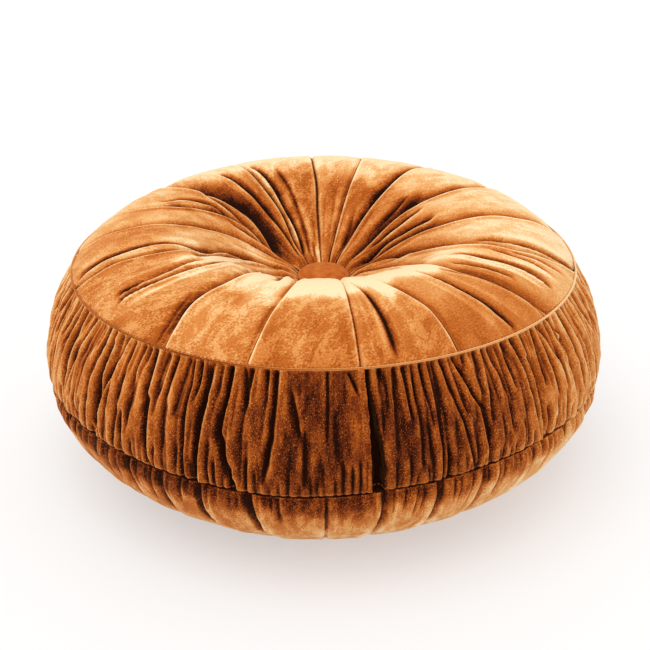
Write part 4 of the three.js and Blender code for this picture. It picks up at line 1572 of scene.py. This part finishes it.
def pressed_velvet_material():
    """The button's velvet, rubbed in patches, with a painted highlight at its edge."""
    material, tree = new_material("pressed_velvet")
    place = add_node(tree, "TexCoord").outputs["Object"]
    edge = add_node(tree, "Attribute", {"attribute_name": "edge"}).outputs["Fac"]
    grain = add_node(tree, "TexNoise", links={
        "Vector": place, "Scale": GRAINS_PER_METRE, "Detail": 2.0})
    rubbed = add_node(tree, "TexNoise", links={
        "Vector": place, "Scale": RUBS_PER_METRE, "Detail": 6.0, "Roughness": 0.7})
    lit = add_node(tree, "MapRange", links={
        "Value": rubbed, "From Min": 0.35, "From Max": 0.65, "To Min": 0.0, "To Max": 0.6})
    rubbed_and_highlit = add_node(tree, "Math", {"operation": "MULTIPLY_ADD"},
                         {0: edge, 1: PAINTED_RIM_HIGHLIGHT, 2: lit})
    colour = add_node(tree, "ValToRGB", links={"Fac": rubbed_and_highlit})
    set_stops(colour, PRESSED_COLOURS)
    bump = add_node(tree, "Bump", links={
        "Strength": 0.4, "Distance": 0.001, "Height": grain})
    shader = add_node(tree, "BsdfPrincipled", links={
        "Base Color": colour, "Normal": bump, "Roughness": 0.8,
        "Specular IOR Level": 0.1, "Sheen Weight": 0.15, "Sheen Tint": linear("#ffc080")})
    add_node(tree, "OutputMaterial", links={"Surface": shader})
    return material


button_cloth = pressed_velvet_material()
print("pressed velvet:", len(button_cloth.node_tree.nodes), "nodes")

# %% [markdown]
# ## Thread
# The seams are sewn with twisted polyester thread, dyed a shade darker than the velvet. Its
# twist gives small light and dark flecks about as long as the thread is thick.

# %% Twisted polyester thread
TWISTS_PER_METRE = 1500.0


def thread_material():
    """The thread of all seams, with light and dark flecks along its twist."""
    material, tree = new_material("twisted_thread")
    place = add_node(tree, "TexCoord").outputs["Object"]
    twist = add_node(tree, "TexNoise", links={
        "Vector": place, "Scale": TWISTS_PER_METRE, "Detail": 1.0})
    shade = add_node(tree, "Mix", {"data_type": "RGBA"}, {
        "Factor": twist, "A": linear("#6e3410"), "B": linear("#b0682c")})
    shader = add_node(tree, "BsdfPrincipled", links={
        "Base Color": shade.outputs["Result"], "Roughness": 0.6, "Specular IOR Level": 0.2})
    add_node(tree, "OutputMaterial", links={"Surface": shader})
    return material


thread = thread_material()
print("thread:", len(thread.node_tree.nodes), "nodes")

# %% [markdown]
# ## Dressing
# One velvet is cut for the whole cover and for the welt, so they share one material. What
# differs from panel to panel is in the numbers that their meshes carry.

# %% Dress the pieces
for piece in [*cover, welt]:
    piece.data.materials.append(crushed_velvet)
button.data.materials.append(button_cloth)
for piece in thread_rows:
    piece.data.materials.append(thread)
print(len(bpy.data.materials), "materials in the file")

# %% [markdown]
# ## The studio floor
# A product studio stands soft goods on white acrylic lit faintly from below, which keeps
# their shadow pale. A plain plane with a little emission does the same.

# %% Floor
FLOOR = 60.0
floor_mesh = bpy.data.meshes.new("floor")
floor_corners = [(-FLOOR, -FLOOR, 0), (FLOOR, -FLOOR, 0), (FLOOR, FLOOR, 0), (-FLOOR, FLOOR, 0)]
floor_mesh.from_pydata(floor_corners, [], [(0, 1, 2, 3)])
floor = bpy.data.objects.new("floor", floor_mesh)
bpy.context.scene.collection.objects.link(floor)
floor_material, tree = new_material("lit_acrylic")
acrylic = add_node(tree, "BsdfPrincipled", links={
    "Base Color": linear("#a8a8a8"), "Roughness": 0.9,
    "Emission Color": linear("#fffdfa"), "Emission Strength": 0.5})
add_node(tree, "OutputMaterial", links={"Surface": acrylic})
floor.data.materials.append(floor_material)
print("floor:", 2 * FLOOR, "m across")

# %% [markdown]
# ## Light
# An even white surround fills the folds, and one wide soft light from the front left, high
# up, models the crown and the well. A sun with a wide angle lights like a large soft box, and
# needs no distance to be chosen.

# %% Light
SURROUND = 0.98
world = bpy.data.worlds.new("studio")
bpy.context.scene.world = world
world.use_nodes = True
background = world.node_tree.nodes["Background"].inputs
background["Color"].default_value = linear("#ffffff")
background["Strength"].default_value = SURROUND


def soft_sun(name, azimuth, elevation, strength, spread):
    """A wide sun, which lights like a large soft box far away."""
    light = bpy.data.lights.new(name, "SUN")
    light.energy = strength
    light.angle = math.radians(spread)
    lamp = bpy.data.objects.new(name, light)
    a, e = math.radians(azimuth), math.radians(elevation)
    towards = Vector((math.cos(a) * math.cos(e), math.sin(a) * math.cos(e), math.sin(e)))
    lamp.rotation_mode = "QUATERNION"
    lamp.rotation_quaternion = towards.to_track_quat("Z", "Y")
    bpy.context.scene.collection.objects.link(lamp)


soft_sun("key", azimuth=238, elevation=66, strength=1.35, spread=60)
bpy.context.scene.view_settings.view_transform = "Standard"
print("lights:", [light.name for light in bpy.data.lights])

# %% [markdown]
# ## Camera
# The camera stands in front of the pouf and looks down at it by a little over 26 degrees. Its
# distance and lens were found by matching the outline and the two seams of the photo.

# %% Camera
AIM = Vector((0.0015, 0.0, 0.140))
CAMERA_ELEVATION = math.radians(26.23)
CAMERA_DISTANCE = 1.300
CAMERA_ROLL = math.radians(-0.32)
SENSOR_WIDTH, LENS = 36.0, 64.72
camera_data = bpy.data.cameras.new("camera")
camera_data.sensor_width = SENSOR_WIDTH
camera_data.lens = LENS
camera = bpy.data.objects.new("camera", camera_data)
back = Vector((0, -math.cos(CAMERA_ELEVATION), math.sin(CAMERA_ELEVATION)))
tilt = Matrix.Rotation(math.pi / 2 - CAMERA_ELEVATION, 4, "X")
tilt = tilt @ Matrix.Rotation(CAMERA_ROLL, 4, "Z")
camera.matrix_world = Matrix.Translation(AIM + back * CAMERA_DISTANCE) @ tilt
bpy.context.scene.collection.objects.link(camera)
bpy.context.scene.camera = camera
print("camera at", [round(c, 3) for c in camera.matrix_world.translation])

# %% [markdown]
# ## Handing over
# Every piece rides on the pouf's one body, and the imported solids that the pieces stand for
# are hidden.

# %% Hand over
for piece in cover:
    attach(piece, "root")
    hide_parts("filled_cover")
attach(welt, "root")
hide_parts("rim_welt")
for piece in thread_rows:
    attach(piece, "root")
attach(button, "root")
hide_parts("centre_button")
